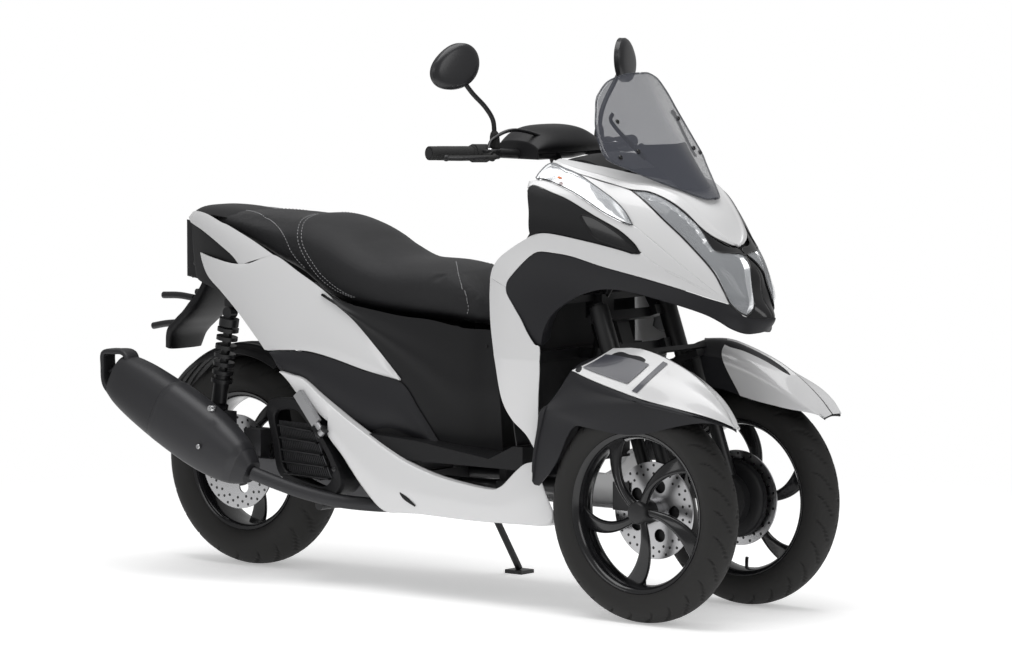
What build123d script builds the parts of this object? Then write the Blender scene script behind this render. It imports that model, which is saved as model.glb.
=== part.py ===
# Leaning reverse trike scooter: two steered wheels in front, one driven wheel behind.
# Millimetres. +X forward, +Y to the rider's left, +Z up. Floor at z = 0.
import math
import os

from build123d import *

os.makedirs("parts", exist_ok=True)

# Wheels and steering
wheelbase = 1350.0
front_x = 697.0
rear_x = front_x - wheelbase
half_track = 192.5
front_r = 250.0
front_w = 90.0
rear_r = 256.0
rear_w = 130.0
front_rim_r = 180.0
rear_rim_r = 167.0
caster = 20.0
axis_y = 125.0
axle_lead = 21.7
steer_r = 14.0
run_gap = 0.05
pin_r = 4.0
arm_reach = 58.0
front_disc_r = 110.0
rear_disc_r = 115.0
disc_t = 4.0
side_names = {"right": -1.0, "left": 1.0}

# Steering axis direction and the plane square to it
sin_c = math.sin(math.radians(caster))
cos_c = math.cos(math.radians(caster))
axis_x = front_x - axle_lead / cos_c
column_x = axis_x - 107.4
column = Plane(origin=(column_x, 0, front_r), x_dir=(cos_c, 0, sin_c), z_dir=(-sin_c, 0, cos_c))
fork_u = 107.4 * cos_c
fork_w = -107.4 * sin_c
axle_u = fork_u + axle_lead
axle_w = fork_w - (front_x - axis_x) * sin_c

# Levels along the steering axis
bracket_w = 286.0
bracket_t = 16.0
head_lo = 322.0
head_hi = 440.0
tie_w = 306.0
tie_t = 10.0
column_lo = 318.0
column_hi = 836.0


def side_plane(y):
    return Plane(origin=(0, y, 0), x_dir=(1, 0, 0), z_dir=(0, -1, 0))


def prism(outline, y_from, y_to, mode=Mode.ADD):
    # A side outline (x, z) carried along Y between two planes
    hi = max(y_from, y_to)
    with BuildSketch(side_plane(hi)) as flat:
        with BuildLine():
            Polyline(*outline, close=True)
        make_face()
    return extrude(flat.sketch, amount=abs(y_from - y_to), mode=mode)


def section_loft(rows, ruled=False):
    # rows: (x, ((y, z), ...)) half outlines from the bottom centre to the top centre
    sketches = []
    for x, half in rows:
        ring = [(y, z) for y, z in half]
        ring += [(-y, z) for y, z in reversed(half) if y > 0.01]
        with BuildSketch(Plane(origin=(x, 0, 0), x_dir=(0, 1, 0), z_dir=(1, 0, 0))) as flat:
            with BuildLine():
                Polyline(*ring, close=True)
            make_face()
        sketches.append(flat.sketch.faces()[0])
    return loft(sections=sketches, ruled=ruled)


def tube(points, radius, bend=30.0, mode=Mode.ADD):
    with BuildLine(mode=Mode.PRIVATE) as run:
        if len(points) > 2:
            FilletPolyline(*points, radius=bend)
        else:
            Line(*points)
    with BuildSketch(Plane(origin=run.line @ 0, z_dir=run.line % 0)) as flat:
        Circle(radius)
    return sweep(flat.sketch, path=run.line, mode=mode)


def rod(start, end, radius, mode=Mode.ADD):
    a = Vector(*start)
    b = Vector(*end)
    with BuildSketch(Plane(origin=a, z_dir=(b - a).normalized())) as flat:
        Circle(radius)
    return extrude(flat.sketch, amount=(b - a).length, mode=mode)


def block(x0, x1, y0, y1, z0, z1, mode=Mode.ADD):
    with Locations(((x0 + x1) / 2, (y0 + y1) / 2, (z0 + z1) / 2)):
        return Box(abs(x1 - x0), abs(y1 - y0), abs(z1 - z0), mode=mode)


def at_column(u, v, w):
    return column.from_local_coords((u, v, w))


pieces = {}


def keep(name, built):
    built.part.label = name
    pieces[name] = built.part


# Tyres: a round tread over a rim seat
tyre_rows = {
    "front_tyre_right": (front_x, -half_track, front_r, front_w, front_rim_r),
    "front_tyre_left": (front_x, half_track, front_r, front_w, front_rim_r),
    "rear_tyre": (rear_x, 0.0, rear_r, rear_w, rear_rim_r),
}
for name, (x, y, radius, width, rim_r) in tyre_rows.items():
    half = width / 2
    with BuildPart() as tyre:
        with BuildSketch(Plane(origin=(x, y, radius), x_dir=(0, 1, 0), z_dir=(1, 0, 0))):
            with BuildLine():
                bead = half * 0.72
                Line((-bead, rim_r), (bead, rim_r))
                ThreePointArc((bead, rim_r), (half, radius - 44), (half * 0.86, radius - 20))
                ThreePointArc((half * 0.86, radius - 20), (0, radius), (-half * 0.86, radius - 20))
                ThreePointArc((-half * 0.86, radius - 20), (-half, radius - 44), (-bead, rim_r))
            make_face()
        revolve(axis=Axis((x, y, radius), (0, 1, 0)))
    keep(name, tyre)

# Wheels: rim, hub and bent spokes. out is the side of the hub cap.
wheel_rows = {
    "front_wheel_right": (front_x, -half_track, front_r, front_w, front_rim_r, -1.0),
    "front_wheel_left": (front_x, half_track, front_r, front_w, front_rim_r, 1.0),
    "rear_wheel": (rear_x, 0.0, rear_r, rear_w, rear_rim_r, -1.0),
}
axle_r = 10.0
hub_r = 30.0
spoke_t = 16.0
for name, (x, y, radius, width, rim_r, out) in wheel_rows.items():
    bead = width / 2 * 0.72
    with BuildPart() as wheel:
        middle = Plane(origin=(x, y, radius), x_dir=(0, 1, 0), z_dir=(1, 0, 0))
        lip = rim_r - 14
        with BuildSketch(middle):
            with BuildLine():
                Polyline((-bead, rim_r), (bead, rim_r), (bead, lip), (bead - 6, lip),
                         (bead * 0.45, lip - 10), (-bead * 0.45, lip - 10),
                         (-bead + 6, lip), (-bead, lip), close=True)
            make_face()
            with Locations(((out * 8), hub_r / 2 + axle_r / 2 + run_gap / 2)):
                Rectangle(44, hub_r - axle_r - run_gap)
        revolve(axis=Axis((x, y, radius), (0, 1, 0)))
        with BuildSketch(Plane(origin=(x, y + out * 12, radius), x_dir=(1, 0, 0), z_dir=(0, -out, 0))):
            with PolarLocations(0, 5):
                Polygon((-14, 24), (10, 24), (30, 100), (22, lip - 8), (2, lip - 8), (8, 100), align=None)
        extrude(amount=spoke_t / 2, both=True)
    keep(name, wheel)

# Brake discs, inboard on the front wheels and on the right of the rear wheel
disc_rows = {
    "front_disc_right": (front_x, -half_track, front_r, front_disc_r, 1.0, 14.0),
    "front_disc_left": (front_x, half_track, front_r, front_disc_r, -1.0, 14.0),
    "rear_disc": (rear_x, 0.0, rear_r, rear_disc_r, -1.0, 30.0),
}
for name, (x, y, radius, disc_r, side, face) in disc_rows.items():
    with BuildPart() as disc:
        start = y + side * face
        with BuildSketch(Plane(origin=(x, start, radius), x_dir=(1, 0, 0), z_dir=(0, side, 0))):
            Circle(hub_r - 2)
            Circle(axle_r + run_gap, mode=Mode.SUBTRACT)
        disc_at = 22.0 if face < 20 else 36.0
        extrude(amount=disc_at)
        with BuildSketch(Plane(origin=(x, start + side * (disc_at - disc_t), radius), x_dir=(1, 0, 0),
                               z_dir=(0, side, 0))):
            Circle(disc_r)
            Circle(axle_r + run_gap, mode=Mode.SUBTRACT)
            with PolarLocations(disc_r - 52, 5):
                Circle(15, mode=Mode.SUBTRACT)
        extrude(amount=disc_t)
    keep(name, disc)


# Fork on each side: steerer, arm, bracket, two tubes inboard of the wheel, axle and caliper
tube_r = 15.5
tube_v = 113.0
tube_back = axle_u - 27.0
tube_fore = axle_u + 27.0
tube_lo = axle_w - 42.0
pin_top = tie_w + tie_t + 3.0
for name, side in side_names.items():
    y_axle = side * half_track
    with BuildPart() as fork:
        rod(at_column(fork_u, side * axis_y, bracket_w), at_column(fork_u, side * axis_y, head_hi + 6), steer_r)
        with BuildSketch(column.offset(bracket_w)):
            with BuildLine():
                Polyline((tube_back - 24, side * 92), (tube_fore + 22, side * 92), (tube_fore + 22, side * 133),
                         (fork_u, side * 146), (tube_back - 24, side * 133), close=True)
            make_face()
        extrude(amount=bracket_t)
        with BuildSketch(column.offset(bracket_w)):
            with Locations((fork_u + arm_reach / 2, side * axis_y)):
                Rectangle(arm_reach + 24, 22)
        extrude(amount=bracket_t)
        rod(at_column(fork_u + arm_reach, side * axis_y, bracket_w + 4),
            at_column(fork_u + arm_reach, side * axis_y, pin_top), pin_r)
        for u in (tube_back, tube_fore):
            rod(at_column(u, side * tube_v, tube_lo), at_column(u, side * tube_v, bracket_w + 2), tube_r)
        with BuildSketch(Plane(origin=(front_x, side * 98, front_r), x_dir=(1, 0, 0), z_dir=(0, side, 0))):
            Circle(62)
        extrude(amount=34)
        rod((front_x, side * 100, front_r), (front_x, side * (half_track + 32), front_r), axle_r)
        block(front_x - 112, front_x - 66, side * 124, side * 166, front_r - 6, front_r + 58)
        block(front_x - 90, front_x - 40, side * 118, side * 140, front_r - 6, front_r + 50)
        with BuildSketch(Plane(origin=(front_x, side * 153, front_r), x_dir=(1, 0, 0), z_dir=(0, side, 0))):
            Circle(front_disc_r + 3)
        extrude(amount=10.0, mode=Mode.SUBTRACT)
        rod((front_x, side * 140, front_r), (front_x, side * (half_track + 32), front_r), axle_r)
    keep(f"fork_{name}", fork)

# Front fenders: a bowed blade over each wheel with side skirts, carried by the fork bracket
fender_skin = 4.0
for name, side in side_names.items():
    y_in = side * 152.0
    y_out = side * 247.0
    with BuildPart() as fender:
        with BuildSketch(side_plane(max(y_in, y_out))):
            with BuildLine():
                Polyline((436, 400), (462, 500), (500, 560), (560, 596), (653, 611), (760, 586), (860, 530),
                         (944, 458), (900, 447), (856, 462), close=False)
                ThreePointArc((856, 462), (697, 514), (500, 428))
                Line((500, 428), (470, 300))
                Line((470, 300), (446, 300))
                Line((446, 300), (436, 400))
            make_face()
        extrude(amount=abs(y_out - y_in))
        with BuildSketch(side_plane(max(y_in, y_out) - fender_skin)):
            with BuildLine():
                Polyline((450, 400), (472, 494), (508, 552), (564, 588), (653, 601), (756, 577), (850, 523),
                         (900, 478), (880, 440), (700, 400), (500, 400), (474, 296), (452, 296), close=True)
            make_face()
        extrude(amount=abs(y_out - y_in) - 2 * fender_skin, mode=Mode.SUBTRACT)
        with BuildSketch(Plane(origin=(front_x, side * 80, front_r), x_dir=(1, 0, 0), z_dir=(0, side, 0))):
            Circle(front_r + 9)
        extrude(amount=200, mode=Mode.SUBTRACT)
        with BuildSketch(column.offset(bracket_w - 14)):
            with Locations((axle_u + 2, side * 132)):
                Rectangle(96, 52)
        extrude(amount=14)
        for u in (tube_back, tube_fore):
            rod(at_column(u, side * tube_v, 150), at_column(u, side * tube_v, bracket_w), tube_r, Mode.SUBTRACT)
        add(pieces[f"fork_{name}"], mode=Mode.SUBTRACT)
    keep(f"fender_{name}", fender)

# Tie rod: a T that keeps both forks parallel to the handlebar column
with BuildPart() as tie_rod:
    with BuildSketch(column.offset(tie_w)):
        with Locations((fork_u + arm_reach, 0)):
            Rectangle(20, 2 * axis_y + 20)
        with Locations(((fork_u + 2 * arm_reach) / 2, 0)):
            Rectangle(fork_u + 20, 18)
        for u, v in ((fork_u + arm_reach, axis_y), (fork_u + arm_reach, -axis_y), (arm_reach, 0)):
            with Locations((u, v)):
                Circle(pin_r + run_gap, mode=Mode.SUBTRACT)
    extrude(amount=tie_t)
keep("tie_rod", tie_rod)

# Leaning linkage: two side heads joined by an upper and a lower arm
head_r = 22.0
arm_back = 60.0
with BuildPart() as linkage:
    for side in side_names.values():
        rod(at_column(fork_u, side * axis_y, head_lo), at_column(fork_u, side * axis_y, head_hi), head_r)
    for w in (head_lo + 8, head_hi - 30):
        with BuildSketch(column.offset(w)):
            with Locations(((arm_back + fork_u) / 2, 0)):
                Rectangle(fork_u - arm_back, 2 * axis_y - 14)
            with Locations(((arm_back + fork_u) / 2 + 22, 0)):
                Rectangle(fork_u - arm_back, 2 * axis_y - 90, mode=Mode.SUBTRACT)
        extrude(amount=22)
    for side in side_names.values():
        rod(at_column(fork_u, side * axis_y, head_lo - 10), at_column(fork_u, side * axis_y, head_hi + 10),
            steer_r + run_gap, Mode.SUBTRACT)
keep("linkage", linkage)

# Handlebar: column, arm, bar
bar_z = 1044.0
bar_y = 366.0
grip_r = 16.0
bar_r = 11.0
with BuildPart() as handlebar:
    rod(at_column(0, 0, bracket_w), at_column(0, 0, column_hi), steer_r)
    with BuildSketch(column.offset(bracket_w)):
        Circle(20)
        with Locations((arm_reach / 2, 0)):
            Rectangle(arm_reach + 16, 22)
    extrude(amount=bracket_t)
    rod(at_column(arm_reach, 0, bracket_w + 4), at_column(arm_reach, 0, pin_top), pin_r)
    tube([(222, -bar_y + 6, bar_z + 2), (262, -170, bar_z - 4), (283, -60, bar_z - 12), (283, 60, bar_z - 12),
          (262, 170, bar_z - 4), (222, bar_y - 6, bar_z + 2)], bar_r, 40)
keep("handlebar", handlebar)

# Centre cover over the bar, with the instrument hood behind the screen fixed to the body
with BuildPart() as bar_cover:
    prism([(196, 1060), (206, 1094), (236, 1102), (330, 1096), (352, 1062), (330, 1022), (240, 1022)], -125, 125)
    prism([(204, 1058), (212, 1088), (240, 1096), (326, 1090), (344, 1062), (328, 1030), (244, 1030)],
          -119, 119, Mode.SUBTRACT)
    block(196, 360, -130, -96, 1010, 1066, Mode.SUBTRACT)
    block(196, 360, 96, 130, 1010, 1066, Mode.SUBTRACT)
    block(262, 304, -30, 30, 1042, 1094)
    add(handlebar.part, mode=Mode.SUBTRACT)
    rod(at_column(0, 0, column_hi - 60), at_column(0, 0, column_hi), steer_r + 0.0, Mode.SUBTRACT)
keep("bar_cover", bar_cover)

# Grips, switch housings, levers and bar ends
with BuildPart() as bar_controls:
    for side in side_names.values():
        a = Vector(222, side * (bar_y - 6), bar_z + 2)
        b = Vector(262, side * 170, bar_z - 4)
        way = (b - a).normalized()
        rod(a - way * 14, a + way * 112, grip_r)
        rod(a + way * 112, a + way * 150, 21)
        lever_root = a + way * 132
        tube([lever_root + Vector(16, 0, 0), lever_root + Vector(56, 0, -8),
              a + way * 30 + Vector(48, 0, -10), a + Vector(36, 0, -10)], 6, 14)
        rod(lever_root + Vector(4, 0, 0), lever_root + Vector(40, 0, -6), 12)
        add(handlebar.part, mode=Mode.SUBTRACT)
keep("bar_controls", bar_controls)

# Mirrors on bent stems
with BuildPart() as mirrors:
    for side in side_names.values():
        foot = Vector(262, side * 192, bar_z + 14)
        tube([foot, (262, side * 200, 1122), (252, side * 252, 1172), (246, side * 290, 1212)], 5.5, 24)
        rod(foot - Vector(0, 0, 8), foot + Vector(0, 0, 20), 12)
        head = Plane(origin=(247, side * 312, 1240), x_dir=(-0.34 * side, 0.94, 0), z_dir=(0.94, side * 0.34, 0))
        with BuildSketch(head) as flat:
            Ellipse(66, 52)
        extrude(flat.sketch, amount=-10)
        with BuildSketch(head) as flat:
            Ellipse(50, 37)
        extrude(flat.sketch, amount=13)
    add(handlebar.part, mode=Mode.SUBTRACT)
    add(bar_controls.part, mode=Mode.SUBTRACT)
keep("mirrors", mirrors)

# Bodywork in front: one hull cut into white cowl, dark side panels, lamps and chin
# Half sections (y, z) from the keel to the crest at each station x, with a blunt nose
hull_rows = (
    (290.0, ((0, 640), (226, 640), (250, 800), (238, 962), (160, 1018), (0, 1026))),
    (420.0, ((0, 640), (236, 640), (252, 800), (236, 975), (160, 1022), (0, 1030))),
    (560.0, ((0, 640), (205, 680), (226, 830), (203, 948), (130, 1003), (0, 1008))),
    (700.0, ((0, 640), (160, 690), (178, 790), (150, 905), (92, 955), (0, 966))),
    (770.0, ((0, 645), (126, 690), (134, 770), (112, 850), (62, 893), (0, 908))),
    (830.0, ((0, 655), (94, 690), (96, 740), (86, 785), (56, 817), (0, 827))),
    (868.0, ((0, 658), (54, 690), (52, 730), (42, 758), (22, 776), (0, 781))),
    (898.0, ((0, 664), (22, 680), (24, 692), (20, 704), (12, 712), (0, 716))),
)
skin = 6.0
hull_reach = 300.0
inner_rows = tuple(
    (x, tuple((max(y - skin, 0), z + (skin if k < 2 else -skin if k > 3 else 0)) for k, (y, z) in enumerate(half)))
    for x, half in hull_rows[:-1]
)
eye = [(627, 966), (659, 963), (702, 943), (737, 916), (767, 885), (794, 850), (810, 832), (832, 824), (865, 785),
       (878, 741), (886, 705), (873, 690), (860, 701), (850, 720), (838, 752), (819, 785), (788, 824), (753, 861),
       (709, 904), (675, 935)]
eye_inner = 16.0
blinker = [(411, 1016), (492, 1001), (545, 978), (604, 945), (634, 922), (657, 893), (645, 895), (587, 921),
           (505, 964), (438, 984), (410, 988)]
panel = [(400, 958), (417, 968), (504, 944), (571, 909), (631, 879), (665, 850), (681, 830), (596, 848), (523, 860),
         (475, 864), (423, 864)]
chin = [(315, 734), (335, 768), (357, 784), (390, 802), (420, 820), (442, 826), (472, 825), (520, 818), (592, 798),
        (684, 775), (762, 748), (806, 733), (850, 717), (860, 703), (869, 689), (910, 682), (910, 640), (850, 640),
        (830, 679), (802, 694), (758, 709), (717, 722), (660, 739), (615, 746), (575, 745), (534, 733), (494, 710),
        (459, 681), (383, 609)]
below = [(430, 600), (383, 609), (459, 681), (494, 710), (534, 733), (575, 745), (615, 746), (660, 739), (717, 722),
         (758, 709), (802, 694), (830, 679), (850, 640), (910, 640), (910, 560), (430, 560)]
with BuildPart() as hollow:
    section_loft(inner_rows, ruled=True)

with BuildPart() as hull:
    section_loft(hull_rows, ruled=True)
    add(hollow.part, mode=Mode.SUBTRACT)
    block(280, 545, -118, 118, 900, 1060, Mode.SUBTRACT)
    block(300, 800, -150, 150, 600, 672, Mode.SUBTRACT)
    prism([(290, 600), (290, 700), (315, 734), (383, 609), (383, 600)], -hull_reach, hull_reach, Mode.SUBTRACT)

with BuildPart() as side_panels:
    add(hull.part)
    prism(panel, -hull_reach, hull_reach, Mode.INTERSECT)
keep("side_panels", side_panels)

with BuildPart() as lamp_cut:
    for side in side_names.values():
        prism(eye, side * eye_inner, side * hull_reach)
    prism(blinker, -hull_reach, hull_reach)

with BuildPart() as front_lamps:
    add(hull.part)
    add(lamp_cut.part, mode=Mode.INTERSECT)
keep("front_lamps", front_lamps)

with BuildPart() as chin_cowl:
    add(hull.part)
    prism(chin, -hull_reach, hull_reach, Mode.INTERSECT)
    add(lamp_cut.part, mode=Mode.SUBTRACT)
keep("chin_cowl", chin_cowl)

with BuildPart() as front_cowl:
    add(hull.part)
    prism(below, -hull_reach, hull_reach, Mode.SUBTRACT)
    add(lamp_cut.part, mode=Mode.SUBTRACT)
    for outline in (panel, chin):
        prism(outline, -hull_reach, hull_reach, Mode.SUBTRACT)
keep("front_cowl", front_cowl)

# Instrument hood and screen
with BuildPart() as meter_hood:
    prism([(352, 1006), (368, 1026), (440, 1042), (545, 1010), (545, 930), (470, 900), (352, 900)], -118, 118)
    prism([(360, 1000), (374, 1018), (438, 1034), (537, 1004), (537, 936), (470, 890), (360, 890)],
          -110, 110, Mode.SUBTRACT)
    rod(at_column(0, 0, 600), at_column(0, 0, 860), 26, Mode.SUBTRACT)
keep("meter_hood", meter_hood)

screen_rows = (
    ((742, 926), (560, 1026), 170.0),
    ((622, 1090), (530, 1112), 160.0),
    ((542, 1222), (512, 1204), 92.0),
)
screen_t = 4.0
with BuildPart() as windshield:
    flats = []
    for (cx, cz), (ex, ez), half in screen_rows:
        along = Vector(ex - cx, 0, ez - cz)
        reach = along.length
        square_to = along.cross(Vector(0, 1, 0)).normalized()
        flat_plane = Plane(origin=(cx, 0, cz), x_dir=(-along).normalized(), z_dir=square_to)
        with BuildSketch(flat_plane) as flat:
            with BuildLine():
                Polyline((-reach, -half), (-reach * 0.3, -half * 0.62), (0, 0), (-reach * 0.3, half * 0.62),
                         (-reach, half), (-reach - screen_t, half - screen_t),
                         (-reach * 0.3 - screen_t, half * 0.62 - screen_t * 0.6), (-screen_t, 0),
                         (-reach * 0.3 - screen_t, -half * 0.62 + screen_t * 0.6),
                         (-reach - screen_t, -half + screen_t), close=True)
            make_face()
        flats.append(flat.sketch.faces()[0])
    loft(sections=flats, ruled=True)
    add(front_cowl.part, mode=Mode.SUBTRACT)
    add(meter_hood.part, mode=Mode.SUBTRACT)
windshield.part = Part() + windshield.part.solids().sort_by(SortBy.VOLUME)[-1]
keep("windshield", windshield)

# Frame: head tube, down tube, floor rails and seat rails
rail_r = 14.0
rail_y = 141.0
floor_rail_y = 95.0
tub_half = 127.0
frame_head_hi = 470.0
peg_axis = Vector(0.762, 0, 0.648).normalized()
peg_way = Vector(-0.648, 0, 0.762).normalized()
peg_at = {name: Vector(-246, side * 216, 368) for name, side in side_names.items()}
stand_at = Vector(-60, 160, 200)
stand_down = Vector(20, 108, -190)
stand_up = Vector(-217, 36, -20)
stand_axis = stand_down.cross(stand_up).normalized()
with BuildPart() as main_frame:
    rod(at_column(0, 0, head_lo), at_column(0, 0, frame_head_hi), 25)
    with BuildSketch(column.offset(head_lo + 8)):
        with Locations(((20 + arm_back) / 2, 0)):
            Rectangle(arm_back - 20, 44)
    extrude(amount=head_hi - head_lo - 16)
    tube([(436, 0, 640), (412, 0, 560), (380, 0, 330), (300, 0, 262), (190, 0, 262)], 20, 40)
    for name, side in side_names.items():
        tube([(215, side * 20, 262), (170, side * floor_rail_y, 262), (-150, side * floor_rail_y, 262),
              (-262, side * rail_y, 400), (-370, side * rail_y, 590), (-600, side * 128, 668),
              (-760, side * 88, 742)], rail_r, 28)
    block(-74, -46, -floor_rail_y, floor_rail_y, 248, 276)
    block(186, 214, -floor_rail_y, floor_rail_y, 250, 274)
    block(-770, -742, -86, 86, 726, 754)
    block(350, 372, -216, 216, 566, 590)
    block(360, 420, -16, 16, 566, 590)
    block(-62, -34, -tub_half, tub_half, 430, 452)
    for name, side in side_names.items():
        tube([(-48, side * 112, 446), (-60, side * 100, 300), (-60, side * 92, 262)], 11, 20)
        block(190, 210, side * 60, side * 88, 262, 318)
        block(60, 90, side * 100, side * 209, 250, 274)
        block(-614, -586, side * 122, side * 153, 642, 662)
        block(-262, -232, side * 138, side * 206, 358, 378)
        rod(peg_at[name] - peg_axis * 13, peg_at[name] - peg_axis * 8.5, 11)
        rod(peg_at[name] + peg_axis * 8.5, peg_at[name] + peg_axis * 13, 11)
        rod(peg_at[name] - peg_axis * 12, peg_at[name] + peg_axis * 12, pin_r)
        block(392, 420, min(side * 16, side * 205), max(side * 16, side * 205), 700, 716)
    block(392, 440, -22, 22, 660, 716)
    rod((424, 0, 700), (560, 0, 900), 9)
    block(548, 572, -206, 206, 892, 904)
    block(-78, -42, 90, 146, 196, 262)
    rod(stand_at - stand_axis * 22, stand_at - stand_axis * 8.4, 12)
    rod(stand_at - stand_axis * 12, stand_at + stand_axis * 12, 5)
    add(hull.part, mode=Mode.SUBTRACT)
    rod(at_column(0, 0, head_lo - 20), at_column(0, 0, frame_head_hi + 60), steer_r + run_gap, Mode.SUBTRACT)
keep("main_frame", main_frame)

# Leg shield: inner wall with white wings at its sides
shield_top = [(296, 700), (276, 800), (260, 900), (272, 940), (290, 940), (290, 810), (312, 706)]
with BuildPart() as leg_shield:
    prism([(336, 372), (332, 600)] + shield_top + [(350, 606), (350, 372)], -216, 216)
    prism(shield_top, -245, 245)
    add(front_cowl.part, mode=Mode.SUBTRACT)
    add(chin_cowl.part, mode=Mode.SUBTRACT)
    add(main_frame.part, mode=Mode.SUBTRACT)
keep("leg_shield", leg_shield)

with BuildPart() as wings:
    for side in side_names.values():
        prism([(290, 757), (286, 711), (296, 598), (306, 486), (330, 400), (340, 345), (404, 345), (408, 480),
               (420, 606), (383, 609), (315, 734)], side * 216, side * 240)
        with BuildSketch(side_plane(side * 234.0 if side > 0 else side * 222.0)):
            with BuildLine():
                Polyline((300, 740), (304, 600), (316, 486), (344, 351), (396, 351), (398, 480), (408, 600),
                         (378, 600), (318, 716), close=True)
            make_face()
        extrude(amount=12, mode=Mode.SUBTRACT)
    add(front_cowl.part, mode=Mode.SUBTRACT)
    add(chin_cowl.part, mode=Mode.SUBTRACT)
    add(leg_shield.part, mode=Mode.SUBTRACT)
    add(front_cowl.part)
keep("front_cowl", wings)

# Power unit: crankcase, cylinder, right arm and the lugs of the stand
arm_in = -98.0
arm_out = -112.0
centre_pivot = (-150.0, 0.0, 186.0)
with BuildPart() as exhaust:
    muffler_from = Vector(-430, -262, 262)
    muffler_to = Vector(-876, -275, 487)
    way = (muffler_to - muffler_from)
    faces = []
    for t, tall, wide in ((0.0, 60, 56), (0.1, 112, 84), (0.36, 158, 104), (0.78, 152, 104), (0.94, 112, 92), (1.0, 92, 86)):
        mid = muffler_from + way * t
        flat_plane = Plane(origin=mid, x_dir=(0, 1, 0), z_dir=way.normalized())
        with BuildSketch(flat_plane) as flat:
            RectangleRounded(wide, tall, wide * 0.3)
        faces.append(flat.sketch.faces()[0])
    loft(sections=faces, ruled=True)
    tube([(-108, -61, 240), (-108, -100, 208), (-170, -172, 190), (-330, -236, 214), tuple(muffler_from)], 16, 24)
    rod((-108, -60, 240.6), (-108, -66, 236), 22)
with BuildPart() as engine:
    block(-385, -200, -78, 78, 200, 400)
    block(-200, -74, -60, 60, 225, 355)
    for x in (-186, -164, -142, -120, -98):
        block(x - 4, x + 4, -70, 70, 244, 362)
    block(-690, -345, arm_out, arm_in, 236, 276)
    block(-385, -345, arm_out, -78, 236, 300)
    rod((rear_x, arm_out, rear_r), (rear_x, -67, rear_r), 17)
    rod((rear_x, arm_out, rear_r), (rear_x, arm_in, rear_r), 28)
    block(-600, -545, arm_in - 4, -52, 270, 344)
    with BuildSketch(Plane(origin=(rear_x, -59, rear_r), x_dir=(1, 0, 0), z_dir=(0, -1, 0))):
        Circle(rear_disc_r + 4)
    extrude(amount=10, mode=Mode.SUBTRACT)
    block(-625, -585, -230, arm_out, 276, 300)
    block(-625, -585, arm_out, arm_in, 270, 300)
    block(-654, -626, -162, arm_in, 262, 384)
    block(-162, -138, -82, 82, 212, 228)
    for side in side_names.values():
        block(-162, -138, side * 72, side * 82, 172, 228)
    rod((centre_pivot[0], -84, centre_pivot[2]), (centre_pivot[0], 84, centre_pivot[2]), 6)
    rod((rear_x, -130, rear_r), (rear_x, 0, rear_r), axle_r + run_gap, Mode.SUBTRACT)
    add(exhaust.part, mode=Mode.SUBTRACT)
keep("exhaust", exhaust)
keep("engine", engine)

with BuildPart() as drive_case:
    prism([(-714, 256), (-694, 308), (-600, 345), (-350, 378), (-286, 378), (-278, 330), (-278, 246), (-300, 206),
           (-600, 206), (-694, 214)], 78, 150)
    rod((rear_x, arm_out, rear_r), (rear_x, 90, rear_r), axle_r)
    rod((rear_x, 14.5, rear_r), (rear_x, 90, rear_r), 18)
    block(-654, -626, 134, 162, 300, 384)
keep("drive_case", drive_case)

with BuildPart() as radiator_cover:
    prism([(-451, 424), (-329, 436), (-312, 420), (-188, 281), (-220, 207), (-410, 252)], -196, arm_out)
    chamfer(radiator_cover.faces().filter_by(Axis.Y).sort_by(Axis.Y)[0].edges(), 12)
    for k in range(5):
        z = 300 + 22 * k
        prism([(-400 + 14 * k, z), (-280 - 12 * k, z - 14), (-280 - 12 * k, z - 4), (-400 + 14 * k, z + 10)], -200, -180,
              Mode.SUBTRACT)
    add(main_frame.part, mode=Mode.SUBTRACT)
    add(exhaust.part, mode=Mode.SUBTRACT)
keep("radiator_cover", radiator_cover)

# Rear shocks with their springs
shock_lo = (-640.0, 148.0, 398.0)
shock_hi = (-600.0, 148.0, 628.0)
with BuildPart() as rear_shocks:
    for side in side_names.values():
        lo = Vector(shock_lo[0], side * shock_lo[1], shock_lo[2])
        hi = Vector(shock_hi[0], side * shock_hi[1], shock_hi[2])
        rise = (hi - lo)
        rod(lo, hi, 11)
        rod(lo + rise * 0.05, lo + rise * 0.34, 19)
        rod(lo + rise * 0.86, lo + rise * 0.94, 24)
        for k in range(7):
            rod(lo + rise * (0.26 + 0.09 * k), lo + rise * (0.30 + 0.09 * k), 26)
        for end in (lo, hi):
            rod(end - Vector(0, 12, 0), end + Vector(0, 12, 0), 14)
keep("rear_shocks", rear_shocks)

# Rear mudguard with the plate bracket; the plate itself is not fitted
guard_r = 285.0
plate_x = -941.0
plate_hole_r = 3.5
plate_pitch = 140.0
plate_z = 622.0
with BuildPart() as rear_mudguard:
    with BuildSketch(side_plane(72)):
        with BuildLine():
            fore = math.radians(62)
            aft = math.radians(142)
            mid = (fore + aft) / 2
            ends = {}
            for key, radius in (("low", guard_r), ("high", guard_r + 5)):
                ends[key] = [(rear_x + radius * math.cos(a), rear_r + radius * math.sin(a)) for a in (fore, mid, aft)]
            ThreePointArc(*ends["low"])
            ThreePointArc(*ends["high"])
            Line(ends["low"][0], ends["high"][0])
            Line(ends["low"][2], ends["high"][2])
        make_face()
    extrude(amount=144)
    block(-768, -744, -40, 40, 520, 726)
    block(plate_x, -760, -24, 24, 602, 642)
    block(plate_x - 5, plate_x, -86, 86, 548, 662)
    with BuildSketch(Plane(origin=(plate_x - 5, 0, plate_z), x_dir=(0, 1, 0), z_dir=(1, 0, 0))):
        with Locations((-plate_pitch / 2, 0), (plate_pitch / 2, 0)):
            Circle(plate_hole_r)
    extrude(amount=5, mode=Mode.SUBTRACT)
keep("rear_mudguard", rear_mudguard)

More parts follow.
